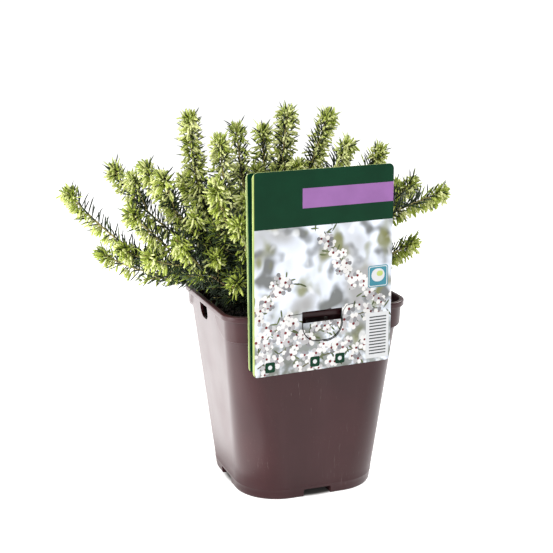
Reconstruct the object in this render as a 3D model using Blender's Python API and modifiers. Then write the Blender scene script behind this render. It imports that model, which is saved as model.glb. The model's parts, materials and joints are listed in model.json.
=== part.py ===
"""Potted winter heath: a low evergreen shrub in a tapered nursery pot, with a folded care card
hooked over the rim.

Metres, +Z up. The origin is the middle of the pot's flat underside and the card faces -Y.
Every shoot runs from the woody crown as a bare bough, then as a leafy mass of its own.
"""
import math
import random

import bmesh
import bpy
import numpy as np
from mathutils import Matrix, Vector

GAP = 0.0003                          # clearance between neighbouring pieces

# Pot, as half widths across X and Y
POT_HEIGHT = 0.133
BASE_HALF = (0.0490, 0.0490)
BASE_CORNER = 0.0300
BODY_TOP_HALF = (0.0629, 0.0536)      # outside of the tapered body, carried up to the rim
BODY_TOP_CORNER = 0.0172
BAND_LOW_HALF = (0.0623, 0.0542)      # straight band under the rim, squarer than the body
BAND_TOP_HALF = (0.0634, 0.0545)
BAND_CORNER = 0.0150
BAND_HEIGHT = 0.0190
RIM_HALF = (0.0650, 0.0560)
RIM_CORNER = 0.0165
RIM_HEIGHT = 0.0040
RIM_EDGE = 0.0008                     # rounding of the rim's edges
WALL = 0.0016
FLOOR = 0.0020
CORNER_STEPS = 6

# Arches that leave the band out round each card slot: half widths at the rim and at the foot
ARCH_NARROW = 0.0250
ARCH_WIDE = 0.0500
ARCH_STEPS = 6
SLOT_WIDTH = 0.0160
SLOT_HEIGHT = 0.0115
SLOT_DROP = 0.0050                    # from the rim's top to the slot's top
SLOT_CORNER = 0.0060
# Each wall: outward bearing in degrees, and how far its slot sits along the wall
WALLS = {"front": (-90, -0.0030), "right": (0, -0.0080), "back": (90, 0.0030), "left": (180, -0.0080)}

# Notches under the middle of each wall, and the drain holes in their roofs
NOTCH_WIDTH = 0.0200
NOTCH_HEIGHT = 0.0053
NOTCH_DEPTH = 0.0140
DRAIN_RADIUS = 0.0035

# Compost
SOIL_EDGE_HEIGHT = 0.1105
SOIL_TOP_HEIGHT = 0.1160
SOIL_PAD_RADIUS = 0.0150
SOIL_LUMP = 0.0008

# Care card: a sheet folded along its right edge, whose front leaf stands open at the left
CARD_RIGHT = 0.0480
CARD_LEFT = -0.0520
CARD_BOTTOM = 0.0950
CARD_TOP = 0.2280
CARD_SHEET = 0.0008
CARD_CORNER = 0.0035
FRONT_FOLD_Y = -0.0580
FRONT_OPEN_Y = -0.0650
BACK_Y = -0.0567
BACK_TRIM = 0.0020                    # the back leaf is this much shorter than the front one
BACK_LEAN = 0.0040                    # how far its free top corner leans back
WINDOW_WIDTH = 0.0265
WINDOW_CENTRE = -0.0030
WINDOW_TOP = 0.1352
WINDOW_BOTTOM = 0.1144
WINDOW_ROUND = 0.0110
BACK_WINDOW_GROW = 0.0013
TONGUE_NECK = 0.0130
TONGUE_TOP = 0.1275                   # upper edge of the tongue's rounded head
TONGUE_MARGIN = 0.0009

# Woody crown, at the foot of the shoots
CROWN = Vector((-0.0140, 0.0030, SOIL_TOP_HEIGHT + GAP + 0.0070))
CROWN_RADIUS = 0.0115
CROWN_FLARE = 0.0130
FOOT_SPACING = 15.0                   # degrees between the feet of two boughs

# Shoots
BOUGH_RADIUS = 0.0013
STEM_RADIUS = 0.0009                  # where a bough hands over to its leafy mass
CORE_RADIUS = 0.0046
SIDE_CORE_RADIUS = 0.0036
BARE_SHARE = 0.20                     # share of a shoot that is bare bough
BARE_MOST = 0.023
NEEDLE_LENGTH = 0.0092
NEEDLE_RADIUS = 0.0013
NEEDLE_ROOT = 0.0016                  # how far from the axis a needle is rooted
NEEDLE_ANGLE = 50.0
NEEDLE_SPACING = 0.0031
GOLDEN_ANGLE = math.radians(137.508)

# Tip bearing about the pot (degrees), tip reach and tip height (mm), rise at the foot and at the
# tip (degrees above level), and the number of side shoots
SHOOTS = {
    "far_left": (162, 154, 206, 17, 54, 1),
    "low_left": (153, 138, 158, 24, 34, 1),
    "back_left": (151, 127, 218, 36, 62, 2),
    "mid_left": (171, 102, 225, 40, 58, 2),
    "left_low": (177, 114, 197, 26, 50, 1),
    "tall_left": (161, 69, 257, 44, 92, 1),
    "upper_left": (177, 51, 243, 62, 88, 1),
    "upper_mid": (138, 41, 247, 78, 88, 1),
    "upper_back": (97, 45, 243, 66, 80, 0),
    "top": (78, 20, 258, 84, 76, 1),
    "top_right": (17, 33, 256, 72, 66, 1),
    "right_near": (-28, 39, 239, 60, 60, 1),
    "right_high": (-7, 64, 232, 55, 58, 1),
    "right_mid": (-4, 91, 207, 40, 42, 1),
    "far_right": (-20, 106, 203, 46, 18, 0),
    "low_right": (-22, 86, 169, 26, 30, 0),
    "front_low": (-146, 68, 149, 28, -10, 0),
    "front_tall": (-159, 68, 218, 48, 72, 1),
    "front_mid": (-144, 66, 194, 44, 55, 0),
    "front_out": (-167, 91, 180, 24, 52, 1),
    "rear_left": (122, 98, 196, 28, 52, 1),
    "rear": (92, 102, 206, 30, 55, 1),
    "rear_right": (58, 96, 200, 30, 52, 1),
    "right_back": (22, 108, 197, 34, 46, 1),
    "card_left": (-95, 44, 186, 46, 70, 0),
    "card_right": (-52, 50, 176, 34, 66, 0),
}

PATH_POINTS = 41


# ---------------------------------------------------------------- scene and shared makers

def clear_scene():
    for old in list(bpy.data.objects):
        bpy.data.objects.remove(old, do_unlink=True)


def collection(name, parent=None):
    group = bpy.data.collections.new(name)
    (parent or bpy.context.scene.collection).children.link(group)
    return group


def material(name, colour, roughness):
    made = bpy.data.materials.new(name)
    made.use_nodes = True
    shader = made.node_tree.nodes["Principled BSDF"]
    shader.inputs["Base Color"].default_value = (*colour, 1.0)
    shader.inputs["Roughness"].default_value = roughness
    shader.inputs["Metallic"].default_value = 0.0
    return made


def place(name, mesh, group, finish=None):
    piece = bpy.data.objects.new(name, mesh)
    if finish:
        mesh.materials.clear()
        mesh.materials.append(finish)
    group.objects.link(piece)
    return piece


def mesh_of(bm, name):
    bmesh.ops.recalc_face_normals(bm, faces=bm.faces)
    mesh = bpy.data.meshes.new(name)
    bm.to_mesh(mesh)
    bm.free()
    return mesh


def loft(name, rings):
    """Closed skin through rings that all have the same number of points, capped at both ends."""
    bm = bmesh.new()
    rows = [[bm.verts.new(point) for point in ring] for ring in rings]
    count = len(rows[0])
    for low, high in zip(rows, rows[1:]):
        for i in range(count):
            j = (i + 1) % count
            bm.faces.new((low[i], low[j], high[j], high[i]))
    bm.faces.new(rows[0][::-1])
    bm.faces.new(rows[-1])
    return mesh_of(bm, name)


def as_mesh(piece):
    """Turn a curve object into a mesh object with its caps welded on."""
    graph = bpy.context.evaluated_depsgraph_get()
    mesh = bpy.data.meshes.new_from_object(piece.evaluated_get(graph))
    bm = bmesh.new()
    bm.from_mesh(mesh)
    bmesh.ops.remove_doubles(bm, verts=bm.verts, dist=1e-6)
    bmesh.ops.recalc_face_normals(bm, faces=bm.faces)
    bm.to_mesh(mesh)
    bm.free()
    solid = bpy.data.objects.new(piece.name + "_solid", mesh)
    solid.matrix_world = piece.matrix_world.copy()
    for group in list(piece.users_collection):
        group.objects.link(solid)
    name = piece.name
    bpy.data.objects.remove(piece, do_unlink=True)
    solid.name = name
    return solid


def plate(name, outlines, thickness, group, matrix):
    """Flat outline in its own XY plane, with any further outline as a hole, made a solid plate."""
    curve = bpy.data.curves.new(name, "CURVE")
    curve.dimensions = "2D"
    curve.fill_mode = "BOTH"
    curve.extrude = thickness / 2
    for outline in outlines:
        spline = curve.splines.new("POLY")
        spline.points.add(len(outline) - 1)
        for point, (x, y) in zip(spline.points, outline):
            point.co = (x, y, 0.0, 1.0)
        spline.use_cyclic_u = True
    piece = place(name, curve, group)
    piece.matrix_world = matrix
    return as_mesh(piece)


def cut(piece, operand, operation, solver="EXACT"):
    """Boolean modifier with an object or a whole collection as its operand."""
    step = piece.modifiers.new(operation.title(), "BOOLEAN")
    step.operation = operation
    step.solver = solver
    if isinstance(operand, bpy.types.Collection):
        step.operand_type = "COLLECTION"
        step.collection = operand
    else:
        step.object = operand
    return step


def hide_cutter(piece):
    piece.hide_render = True
    piece.display_type = "WIRE"


def apply_modifiers(piece):
    graph = bpy.context.evaluated_depsgraph_get()
    mesh = bpy.data.meshes.new_from_object(piece.evaluated_get(graph))
    piece.modifiers.clear()
    piece.data = mesh


def keep_largest(piece):
    """Drop the loose scraps and sealed hollows that a union can leave behind."""
    bm = bmesh.new()
    bm.from_mesh(piece.data)
    waiting = set(bm.verts)
    shells = []
    while waiting:
        front = [waiting.pop()]
        shell = set(front)
        while front:
            for edge in front.pop().link_edges:
                for vert in edge.verts:
                    if vert in waiting:
                        waiting.remove(vert)
                        shell.add(vert)
                        front.append(vert)
        shells.append(shell)
    shells.sort(key=len)
    for shell in shells[:-1]:
        bmesh.ops.delete(bm, geom=list(shell), context="VERTS")
    bm.to_mesh(piece.data)
    bm.free()


# ---------------------------------------------------------------- pot

def rounded_ring(half, corner, height, inset=0.0):
    """Points round a rectangle with rounded corners, at one height."""
    half_x, half_y = half[0] - inset, half[1] - inset
    radius = corner - inset
    ring = []
    for quarter in range(4):
        centre_x = (half_x - radius) * (1 if quarter in (0, 3) else -1)
        centre_y = (half_y - radius) * (1 if quarter in (0, 1) else -1)
        for step in range(CORNER_STEPS + 1):
            turn = math.radians(90 * (quarter + step / CORNER_STEPS))
            ring.append((centre_x + radius * math.cos(turn), centre_y + radius * math.sin(turn), height))
    return ring


def body_ring(height, inset=0.0):
    share = height / POT_HEIGHT
    half = [low + (high - low) * share for low, high in zip(BASE_HALF, BODY_TOP_HALF)]
    corner = BASE_CORNER + (BODY_TOP_CORNER - BASE_CORNER) * share
    return rounded_ring(half, corner, height, inset)


def band_ring(half, height, inset=0.0):
    return rounded_ring(half, BAND_CORNER, height, inset)


def wall_matrix(wall, distance, height):
    """Stands a plate in a wall: its X runs along the wall, its Y goes up, its Z points outward."""
    bearing, shift = WALLS[wall]
    turn = Matrix.Rotation(math.radians(bearing + 90), 4, "Z")
    upright = Matrix.Rotation(math.radians(90), 4, "X")
    return turn @ Matrix.Translation((shift, -distance, height)) @ upright


def arch_outline(grow):
    """Narrow at the rim, sweeping out along an ellipse to the foot of the band."""
    foot = POT_HEIGHT - BAND_HEIGHT
    over = 0.010
    side = []
    for step in range(ARCH_STEPS + 1):
        turn = math.radians(90 * step / ARCH_STEPS)
        across = ARCH_WIDE - (ARCH_WIDE - ARCH_NARROW) * math.cos(turn)
        side.append((across + grow, POT_HEIGHT - (BAND_HEIGHT - grow) * math.sin(turn)))
    right = [(ARCH_NARROW + grow, POT_HEIGHT + over)] + side + [(ARCH_WIDE + grow, foot - over)]
    return right + [(-across, height) for across, height in reversed(right)]


def slot_outline():
    """Flat across the top, with rounded lower corners."""
    half = SLOT_WIDTH / 2
    top = POT_HEIGHT - SLOT_DROP
    bottom = top - SLOT_HEIGHT
    outline = [(half, top), (-half, top)]
    for side in (-1, 1):
        for step in range(5):
            turn = math.radians(180 + 90 * step / 4 if side < 0 else 270 + 90 * step / 4)
            outline.append((side * (half - SLOT_CORNER) + SLOT_CORNER * math.cos(turn),
                            bottom + SLOT_CORNER + SLOT_CORNER * math.sin(turn)))
    return outline


def notch_block(wall, grow, cutters):
    """Block that hollows the underside below one wall."""
    bearing = WALLS[wall][0]
    length = NOTCH_DEPTH + 0.020 + grow
    height = NOTCH_HEIGHT + 0.010 + grow
    bm = bmesh.new()
    bmesh.ops.create_cube(bm, size=1.0)
    inner = BASE_HALF[0] - NOTCH_DEPTH - grow
    bmesh.ops.scale(bm, vec=(length, NOTCH_WIDTH + 2 * grow, height), verts=bm.verts)
    bmesh.ops.translate(bm, vec=(inner + length / 2, 0, NOTCH_HEIGHT + grow - height / 2), verts=bm.verts)
    bmesh.ops.rotate(bm, matrix=Matrix.Rotation(math.radians(bearing), 3, "Z"), verts=bm.verts)
    piece = place(f"notch_{wall}_{int(grow * 1e5)}", mesh_of(bm, "notch"), cutters)
    hide_cutter(piece)
    return piece


def drain_rod(wall, cutters):
    bearing = math.radians(WALLS[wall][0])
    bm = bmesh.new()
    bmesh.ops.create_cone(bm, cap_ends=True, segments=12, radius1=DRAIN_RADIUS, radius2=DRAIN_RADIUS,
                          depth=0.012)
    distance = BASE_HALF[0] - NOTCH_DEPTH / 2
    piece = place(f"drain_{wall}", mesh_of(bm, "drain"), cutters)
    piece.location = (distance * math.cos(bearing), distance * math.sin(bearing), NOTCH_HEIGHT)
    hide_cutter(piece)
    return piece


def pot_skin(name, inset, cutters):
    """The pot's outer shape, or with an inset the shape of the hollow inside it."""
    floor = FLOOR if inset else 0.0
    top = POT_HEIGHT + (0.010 if inset else -RIM_EDGE)
    if inset:
        heights = [(floor, 0.0012), (floor + 0.0016, 0.0)]
    else:
        heights = [(0.0, 0.0014), (0.0014, 0.0)]
    rings = [body_ring(height, inset + tuck) for height, tuck in heights]
    rings.append(body_ring(top, inset))
    body = place(name, loft(name, rings), cutters)
    band = place(name + "_band", loft(name + "_band", [
        band_ring(BAND_LOW_HALF, POT_HEIGHT - BAND_HEIGHT, inset),
        band_ring(BAND_TOP_HALF, top, inset)]), cutters)
    hide_cutter(band)
    for wall in WALLS:
        arch = plate(f"{name}_arch_{wall}", [arch_outline(inset)], 0.024, cutters,
                     wall_matrix(wall, BAND_TOP_HALF[0 if wall in ("left", "right") else 1], 0.0))
        hide_cutter(arch)
        cut(band, arch, "DIFFERENCE")
    cut(body, band, "UNION")
    return body


def make_pot(group, cutters, finish):
    pot = pot_skin("pot", 0.0, cutters)
    cutters.objects.unlink(pot)
    group.objects.link(pot)
    pot.data.materials.append(finish)
    low = POT_HEIGHT - RIM_HEIGHT
    rim = place("rim", loft("rim", [
        rounded_ring(RIM_HALF, RIM_CORNER, low, RIM_EDGE),
        rounded_ring(RIM_HALF, RIM_CORNER, low + RIM_EDGE),
        rounded_ring(RIM_HALF, RIM_CORNER, POT_HEIGHT - RIM_EDGE),
        rounded_ring(RIM_HALF, RIM_CORNER, POT_HEIGHT, RIM_EDGE)]), cutters)
    hide_cutter(rim)
    cut(pot, rim, "UNION")
    for wall in WALLS:
        cut(pot, notch_block(wall, 0.0, cutters), "DIFFERENCE")
    hollow = pot_skin("hollow", WALL, cutters)
    hide_cutter(hollow)
    for wall in WALLS:
        cut(hollow, notch_block(wall, WALL, cutters), "DIFFERENCE")
    cut(pot, hollow, "DIFFERENCE")
    for wall in WALLS:
        slot = plate(f"slot_{wall}", [slot_outline()], 0.012, cutters,
                     wall_matrix(wall, BODY_TOP_HALF[0 if wall in ("left", "right") else 1], 0.0))
        hide_cutter(slot)
        cut(pot, slot, "DIFFERENCE")
        cut(pot, drain_rod(wall, cutters), "DIFFERENCE")
    return pot


# ---------------------------------------------------------------- compost and crown

def make_soil(group, cutters, finish):
    chance = random.Random(7)
    inset = WALL + GAP
    rings = [body_ring(FLOOR + GAP, inset + 0.0012), body_ring(FLOOR + GAP + 0.0016, inset)]
    rings.append(body_ring(SOIL_EDGE_HEIGHT, inset))
    edge = rings[-1]
    pad_height = SOIL_TOP_HEIGHT
    for share in (0.16, 0.42, 0.70):
        ring = []
        for i, (x, y, _) in enumerate(edge):
            turn = 2 * math.pi * i / len(edge)
            across = (CROWN.x + (x - CROWN.x) * (1 - share), CROWN.y + (y - CROWN.y) * (1 - share))
            rise = SOIL_EDGE_HEIGHT + (pad_height - SOIL_EDGE_HEIGHT) * math.sin(share * math.pi / 2)
            rise += SOIL_LUMP * chance.uniform(-1, 1) + 0.0003 * math.sin(3 * turn)
            ring.append((*across, rise))
        rings.append(ring)
    pad = []
    for x, y, _ in edge:
        turn = math.atan2(y - CROWN.y, x - CROWN.x)
        pad.append((CROWN.x + SOIL_PAD_RADIUS * math.cos(turn), CROWN.y + SOIL_PAD_RADIUS * math.sin(turn),
                    pad_height))
    rings.append(pad)
    soil = place("compost", loft("compost", rings), group, finish)
    for wall in WALLS:
        cut(soil, notch_block(wall, WALL + GAP, cutters), "DIFFERENCE")
    return soil


def make_crown(group, finish):
    """Short stem: a rounded woody burl on a flared foot, turned about its own axis."""
    foot = SOIL_TOP_HEIGHT + GAP - CROWN.z
    profile = []
    for step in range(7):
        turn = math.radians(90 - 15 * step)
        profile.append((CROWN_RADIUS * math.cos(turn), CROWN_RADIUS * math.sin(turn)))
    profile += [(CROWN_RADIUS, foot * 0.55), (CROWN_FLARE, foot), (0.0, foot)]
    profile[0] = (0.0, CROWN_RADIUS)
    mesh = bpy.data.meshes.new("crown_profile")
    mesh.from_pydata([(x, 0.0, z) for x, z in profile],
                     [(i, i + 1) for i in range(len(profile) - 1)], [])
    crown = place("crown_stem", mesh, group, finish)
    crown.location = CROWN
    turned = crown.modifiers.new("Turned", "SCREW")
    turned.steps = turned.render_steps = 14
    turned.use_merge_vertices = True
    turned.merge_threshold = 0.0001
    return crown


# ---------------------------------------------------------------- shoots

def heading(bearing, rise):
    """Unit direction from a bearing and a rise, both in radians."""
    return Vector((math.cos(rise) * math.cos(bearing), math.cos(rise) * math.sin(bearing), math.sin(rise)))


def shoot_tip(name):
    bearing, reach, height = SHOOTS[name][:3]
    turn = math.radians(bearing)
    return Vector((reach * math.cos(turn), reach * math.sin(turn), height)) / 1000


def spread_feet():
    """Start direction of each shoot, eased apart until no two feet crowd each other."""
    feet = {}
    for name, (_, _, _, foot_rise, _, _) in SHOOTS.items():
        away = shoot_tip(name) - CROWN
        feet[name] = heading(math.atan2(away.y, away.x), math.radians(foot_rise))
    for _ in range(120):
        for a in feet:
            for b in feet:
                if a == b:
                    continue
                apart = feet[a].angle(feet[b])
                short = math.radians(FOOT_SPACING) - apart
                if short > 0:
                    push = (feet[a] - feet[b]).normalized() * short * 0.5
                    feet[a] = (feet[a] + push).normalized()
                    feet[b] = (feet[b] - push).normalized()
        for name in feet:
            if feet[name].z < 0.12:
                feet[name].z = 0.12
                feet[name].normalize()
    return feet


def shoot_path(name, foot):
    """Cubic curve from the crown's surface to the shoot's tip."""
    tip = shoot_tip(name)
    away = tip - CROWN
    tip_rise = math.radians(SHOOTS[name][4])
    start = CROWN + foot * (CROWN_RADIUS + GAP)
    reach = (tip - start).length * 0.36
    leave = start + foot * reach
    arrive = tip - heading(math.atan2(away.y, away.x), tip_rise) * reach
    points = []
    for step in range(PATH_POINTS):
        t = step / (PATH_POINTS - 1)
        points.append(start * (1 - t) ** 3 + leave * 3 * t * (1 - t) ** 2
                      + arrive * 3 * t * t * (1 - t) + tip * t ** 3)
    return points


def lengths_along(points):
    run = [0.0]
    for a, b in zip(points, points[1:]):
        run.append(run[-1] + (b - a).length)
    return run


def point_at(points, run, distance):
    """Point and direction at a distance along a path."""
    distance = min(max(distance, 0.0), run[-1])
    for i in range(len(points) - 1):
        if distance <= run[i + 1]:
            share = (distance - run[i]) / (run[i + 1] - run[i])
            return points[i].lerp(points[i + 1], share), (points[i + 1] - points[i]).normalized()
    return points[-1].copy(), (points[-1] - points[-2]).normalized()


def limb(name, stations, group, finish=None):
    """Tapering six-sided limb through (point, radius) stations."""
    curve = bpy.data.curves.new(name, "CURVE")
    curve.dimensions = "3D"
    curve.bevel_depth = 1.0
    curve.bevel_resolution = 1
    curve.use_fill_caps = True
    spline = curve.splines.new("POLY")
    spline.points.add(len(stations) - 1)
    for point, (place_at, radius) in zip(spline.points, stations):
        point.co = (*place_at, 1.0)
        point.radius = radius
    piece = as_mesh(place(name, curve, group))
    if finish:
        piece.data.materials.append(finish)
    return piece


class Space:
    """Knows every shoot's axis, so that each mass can keep to its own share of the crown."""

    def __init__(self, paths):
        self.axes = {name: [np.array(points)] for name, points in paths.items()}

    def nearest_other(self, name, point):
        best = 1.0
        spot = np.array(point)
        for other, lines in self.axes.items():
            if other != name:
                for line in lines:
                    best = min(best, float(np.linalg.norm(line - spot, axis=1).min()))
        return best

    def nearest_own(self, name, point):
        spot = np.array(point)
        return min(float(np.linalg.norm(line - spot, axis=1).min()) for line in self.axes[name])

    def add(self, name, points):
        self.axes[name].append(np.array(points))


def clear_of_fixtures(point, margin):
    """True where a point keeps clear of the compost, the pot's wall and rim, and the card."""
    x, y, z = point
    if z < SOIL_TOP_HEIGHT + margin:
        return False
    over_wall = (abs(x) > BODY_TOP_HALF[0] - 2 * WALL - margin or abs(y) > BODY_TOP_HALF[1] - 2 * WALL - margin)
    if over_wall and z < POT_HEIGHT + margin:
        return False
    beside_card = CARD_LEFT - margin < x < CARD_RIGHT + margin and z < CARD_TOP + 0.006 + margin
    if beside_card:
        open_share = (CARD_RIGHT - x) / (CARD_RIGHT - CARD_LEFT)
        high_share = max(0.0, (z - POT_HEIGHT) / (CARD_TOP - POT_HEIGHT))
        if y < BACK_Y + BACK_LEAN * open_share * high_share + CARD_SHEET + margin:
            return False
    return True


def core_radius(space, name, point, wanted):
    """A core thins where a neighbouring shoot comes close."""
    return max(STEM_RADIUS, min(wanted, space.nearest_other(name, point) / 2 - 0.0008))


def core_stations(space, name, points, start, wanted, tip_share=0.45, step_length=0.014):
    """Stations of a leafy core that swells from the bare stem and narrows at its tip."""
    run = lengths_along(points)
    total = run[-1]
    marks = [start, start + 0.004]
    count = max(3, round((total - start) / step_length))
    marks += [start + 0.010 + (total - start - 0.014) * i / count for i in range(count + 1)]
    marks.append(total)
    stations = []
    for i, mark in enumerate(marks):
        spot, _ = point_at(points, run, mark)
        if i < 2:
            radius = STEM_RADIUS
        elif i == len(marks) - 1:
            radius = wanted * tip_share * 0.5
        else:
            fullness = wanted * (0.80 + 0.20 * mark / total)
            radius = core_radius(space, name, spot, fullness)
        stations.append((spot, radius))
    return stations


def needle_mesh():
    bm = bmesh.new()
    bmesh.ops.create_cone(bm, cap_ends=True, segments=3, radius1=NEEDLE_RADIUS, radius2=0.0,
                          depth=NEEDLE_LENGTH)
    bmesh.ops.translate(bm, vec=(0, 0, NEEDLE_LENGTH / 2), verts=bm.verts)
    bmesh.ops.remove_doubles(bm, verts=bm.verts, dist=1e-6)
    return mesh_of(bm, "needle")


def add_needles(space, name, points, start, spacing, template, group, chance):
    """Needles set round an axis by the golden angle, leaning forward; crowded ones are skipped."""
    run = lengths_along(points)
    distance = start + 0.008
    turn = chance.uniform(0, 2 * math.pi)
    while distance < run[-1] - 0.0005:
        spot, along = point_at(points, run, distance)
        side = along.orthogonal().normalized()
        outward = Matrix.Rotation(turn, 3, along) @ side
        to_tip = (run[-1] - distance) / 0.010
        lean = math.radians(NEEDLE_ANGLE + chance.uniform(-6, 6)) * min(1.0, 0.35 + 0.65 * to_tip)
        point_way = (along * math.cos(lean) + outward * math.sin(lean)).normalized()
        narrow = min(1.0, 0.2 + (run[-1] - distance) / 0.014)
        root = spot + outward * min(NEEDLE_ROOT, 0.4 * core_radius(space, name, spot, CORE_RADIUS) * narrow)
        tip = root + point_way * NEEDLE_LENGTH
        middle = root + point_way * NEEDLE_LENGTH * 0.6
        own = max(space.nearest_own(name, tip), 0.002)
        free = all(space.nearest_other(name, p) > own * 1.05 + 0.0012 for p in (tip, middle))
        if free and clear_of_fixtures(tip, 0.0012) and clear_of_fixtures(middle, 0.0012):
            piece = bpy.data.objects.new(f"{name}_needle", template)
            twist = point_way.to_track_quat("Z", "Y").to_matrix().to_4x4()
            spin = Matrix.Rotation(chance.uniform(0, 2), 4, "Z")
            piece.matrix_world = Matrix.Translation(root) @ twist @ spin
            group.objects.link(piece)
        distance += spacing * chance.uniform(0.85, 1.15)
        turn += GOLDEN_ANGLE


def side_path(space, name, points, share, chance):
    """Short side shoot that leaves its parent and bends to run beside it; None if crowded."""
    run = lengths_along(points)
    start, along = point_at(points, run, run[-1] * share)
    length = chance.uniform(0.026, 0.040)
    for _ in range(24):
        outward = Matrix.Rotation(chance.uniform(0, 2 * math.pi), 3, along) @ along.orthogonal().normalized()
        outward = (outward + Vector((0, 0, 0.5))).normalized()
        leave = (along * 0.62 + outward * 0.80).normalized()
        arrive = (along * 0.85 + outward * 0.45 + Vector((0, 0, 0.25))).normalized()
        bend = start + leave * length * 0.5
        end = bend + arrive * length * 0.5
        path = []
        for step in range(9):
            t = step / 8
            path.append(start * (1 - t) ** 2 + bend * 2 * t * (1 - t) + end * t * t)
        if all(space.nearest_other(name, p) > 0.0105 and clear_of_fixtures(p, 0.006) for p in path[4:]):
            return path
    return None


def grow_sides(space, paths):
    """Every shoot's side shoots, each from a seed of its own."""
    sides = {}
    for name, points in paths.items():
        sides[name] = []
        for number in range(SHOOTS[name][5]):
            chance = random.Random(f"{name} side {number}")
            share = 0.48 + 0.20 * number + chance.uniform(-0.04, 0.04)
            path = side_path(space, name, points, share, chance)
            if path:
                space.add(name, path)
                sides[name].append(path)
    return sides


def make_bough(name, points, group, finish):
    """Bare tapering limb from the crown to where the leaves begin; returns its length."""
    run = lengths_along(points)
    bare = min(BARE_MOST, run[-1] * BARE_SHARE)
    stations = []
    for step in range(5):
        spot, _ = point_at(points, run, bare * step / 4)
        stations.append((spot, BOUGH_RADIUS + (STEM_RADIUS - BOUGH_RADIUS) * step / 4))
    limb("bough_" + name, stations, group, finish)
    return bare


def make_mass(space, name, points, sides, start, template, group, work, finish):
    """Leafy mass: a core along the shoot, with its side shoots and needles fused on."""
    chance = random.Random(name)
    mass = limb("mass_" + name, core_stations(space, name, points, start, CORE_RADIUS), group, finish)
    sprays = collection("sprays_" + name, work)
    add_needles(space, name, points, start, NEEDLE_SPACING, template, sprays, chance)
    for number, path in enumerate(sides):
        run = lengths_along(path)
        stations = []
        for share, width in ((0.0, 0.35), (0.30, 0.85), (0.62, 1.0), (0.90, 0.85), (1.0, 0.22)):
            spot, _ = point_at(path, run, run[-1] * share)
            stations.append((spot, SIDE_CORE_RADIUS * width))
        limb(f"{name}_side_{number}", stations, sprays)
        add_needles(space, name, path, 0.002, NEEDLE_SPACING, template, sprays, chance)
    cut(mass, sprays, "UNION", "MANIFOLD")
    apply_modifiers(mass)
    keep_largest(mass)
    for piece in list(sprays.objects):
        bpy.data.objects.remove(piece, do_unlink=True)
    bpy.data.collections.remove(sprays)


def make_shoots(group, work, finishes):
    feet = spread_feet()
    paths = {name: shoot_path(name, feet[name]) for name in SHOOTS}
    space = Space(paths)
    sides = grow_sides(space, paths)
    template = needle_mesh()
    for name, points in paths.items():
        bare = make_bough(name, points, group, finishes["wood"])
        make_mass(space, name, points, sides[name], bare + GAP, template, group, work, finishes["leaf"])


# ---------------------------------------------------------------- care card

def rounded_outline(left, right, bottom, top, corner, steps=3):
    outline = []
    for centre_x, centre_y, first in ((right - corner, top - corner, 0), (left + corner, top - corner, 90),
                                      (left + corner, bottom + corner, 180),
                                      (right - corner, bottom + corner, 270)):
        for step in range(steps + 1):
            turn = math.radians(first + 90 * step / steps)
            outline.append((centre_x + corner * math.cos(turn), centre_y + corner * math.sin(turn)))
    return outline


def window_outline(grow, top=WINDOW_TOP):
    """Opening with a straight upper edge and a deeply rounded foot."""
    half = WINDOW_WIDTH / 2 + grow
    bottom = WINDOW_BOTTOM - grow
    radius = WINDOW_ROUND + grow
    outline = [(WINDOW_CENTRE + half, top), (WINDOW_CENTRE - half, top)]
    for side, first in ((-1, 180), (1, 270)):
        for step in range(7):
            turn = math.radians(first + 90 * step / 6)
            outline.append((WINDOW_CENTRE + side * (half - radius) + radius * math.cos(turn),
                            bottom + radius + radius * math.sin(turn)))
    return outline


def upright_matrix(y):
    """Stands a plate facing -Y, its own X along X and its own Y going up."""
    return Matrix.Translation((0, y, 0)) @ Matrix.Rotation(math.radians(90), 4, "X")


def leaf_sheet(name, left, right, bottom, top, columns, rows, depth, group):
    """Bent sheet of card: depth(x, z) gives how far back each point stands."""
    bm = bmesh.new()
    bmesh.ops.create_grid(bm, x_segments=columns, y_segments=rows, size=0.5)
    for vert in bm.verts:
        x = left + (right - left) * (vert.co.x + 0.5)
        z = bottom + (top - bottom) * (vert.co.y + 0.5)
        vert.co = (x, depth(x, z), z)
    mesh = bpy.data.meshes.new(name)
    bm.to_mesh(mesh)
    bm.free()
    sheet = place(name, mesh, group)
    thick = sheet.modifiers.new("Sheet", "SOLIDIFY")
    thick.thickness = CARD_SHEET
    thick.offset = 0.0
    return sheet


def front_depth(x, z):
    share = (CARD_RIGHT - x) / (CARD_RIGHT - CARD_LEFT)
    return FRONT_FOLD_Y + (FRONT_OPEN_Y - FRONT_FOLD_Y) * share


def back_depth(x, z):
    share = (CARD_RIGHT - x) / (CARD_RIGHT - CARD_LEFT)
    high = max(0.0, (z - POT_HEIGHT - 0.002) / (CARD_TOP - POT_HEIGHT))
    return BACK_Y + BACK_LEAN * share * high


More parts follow.
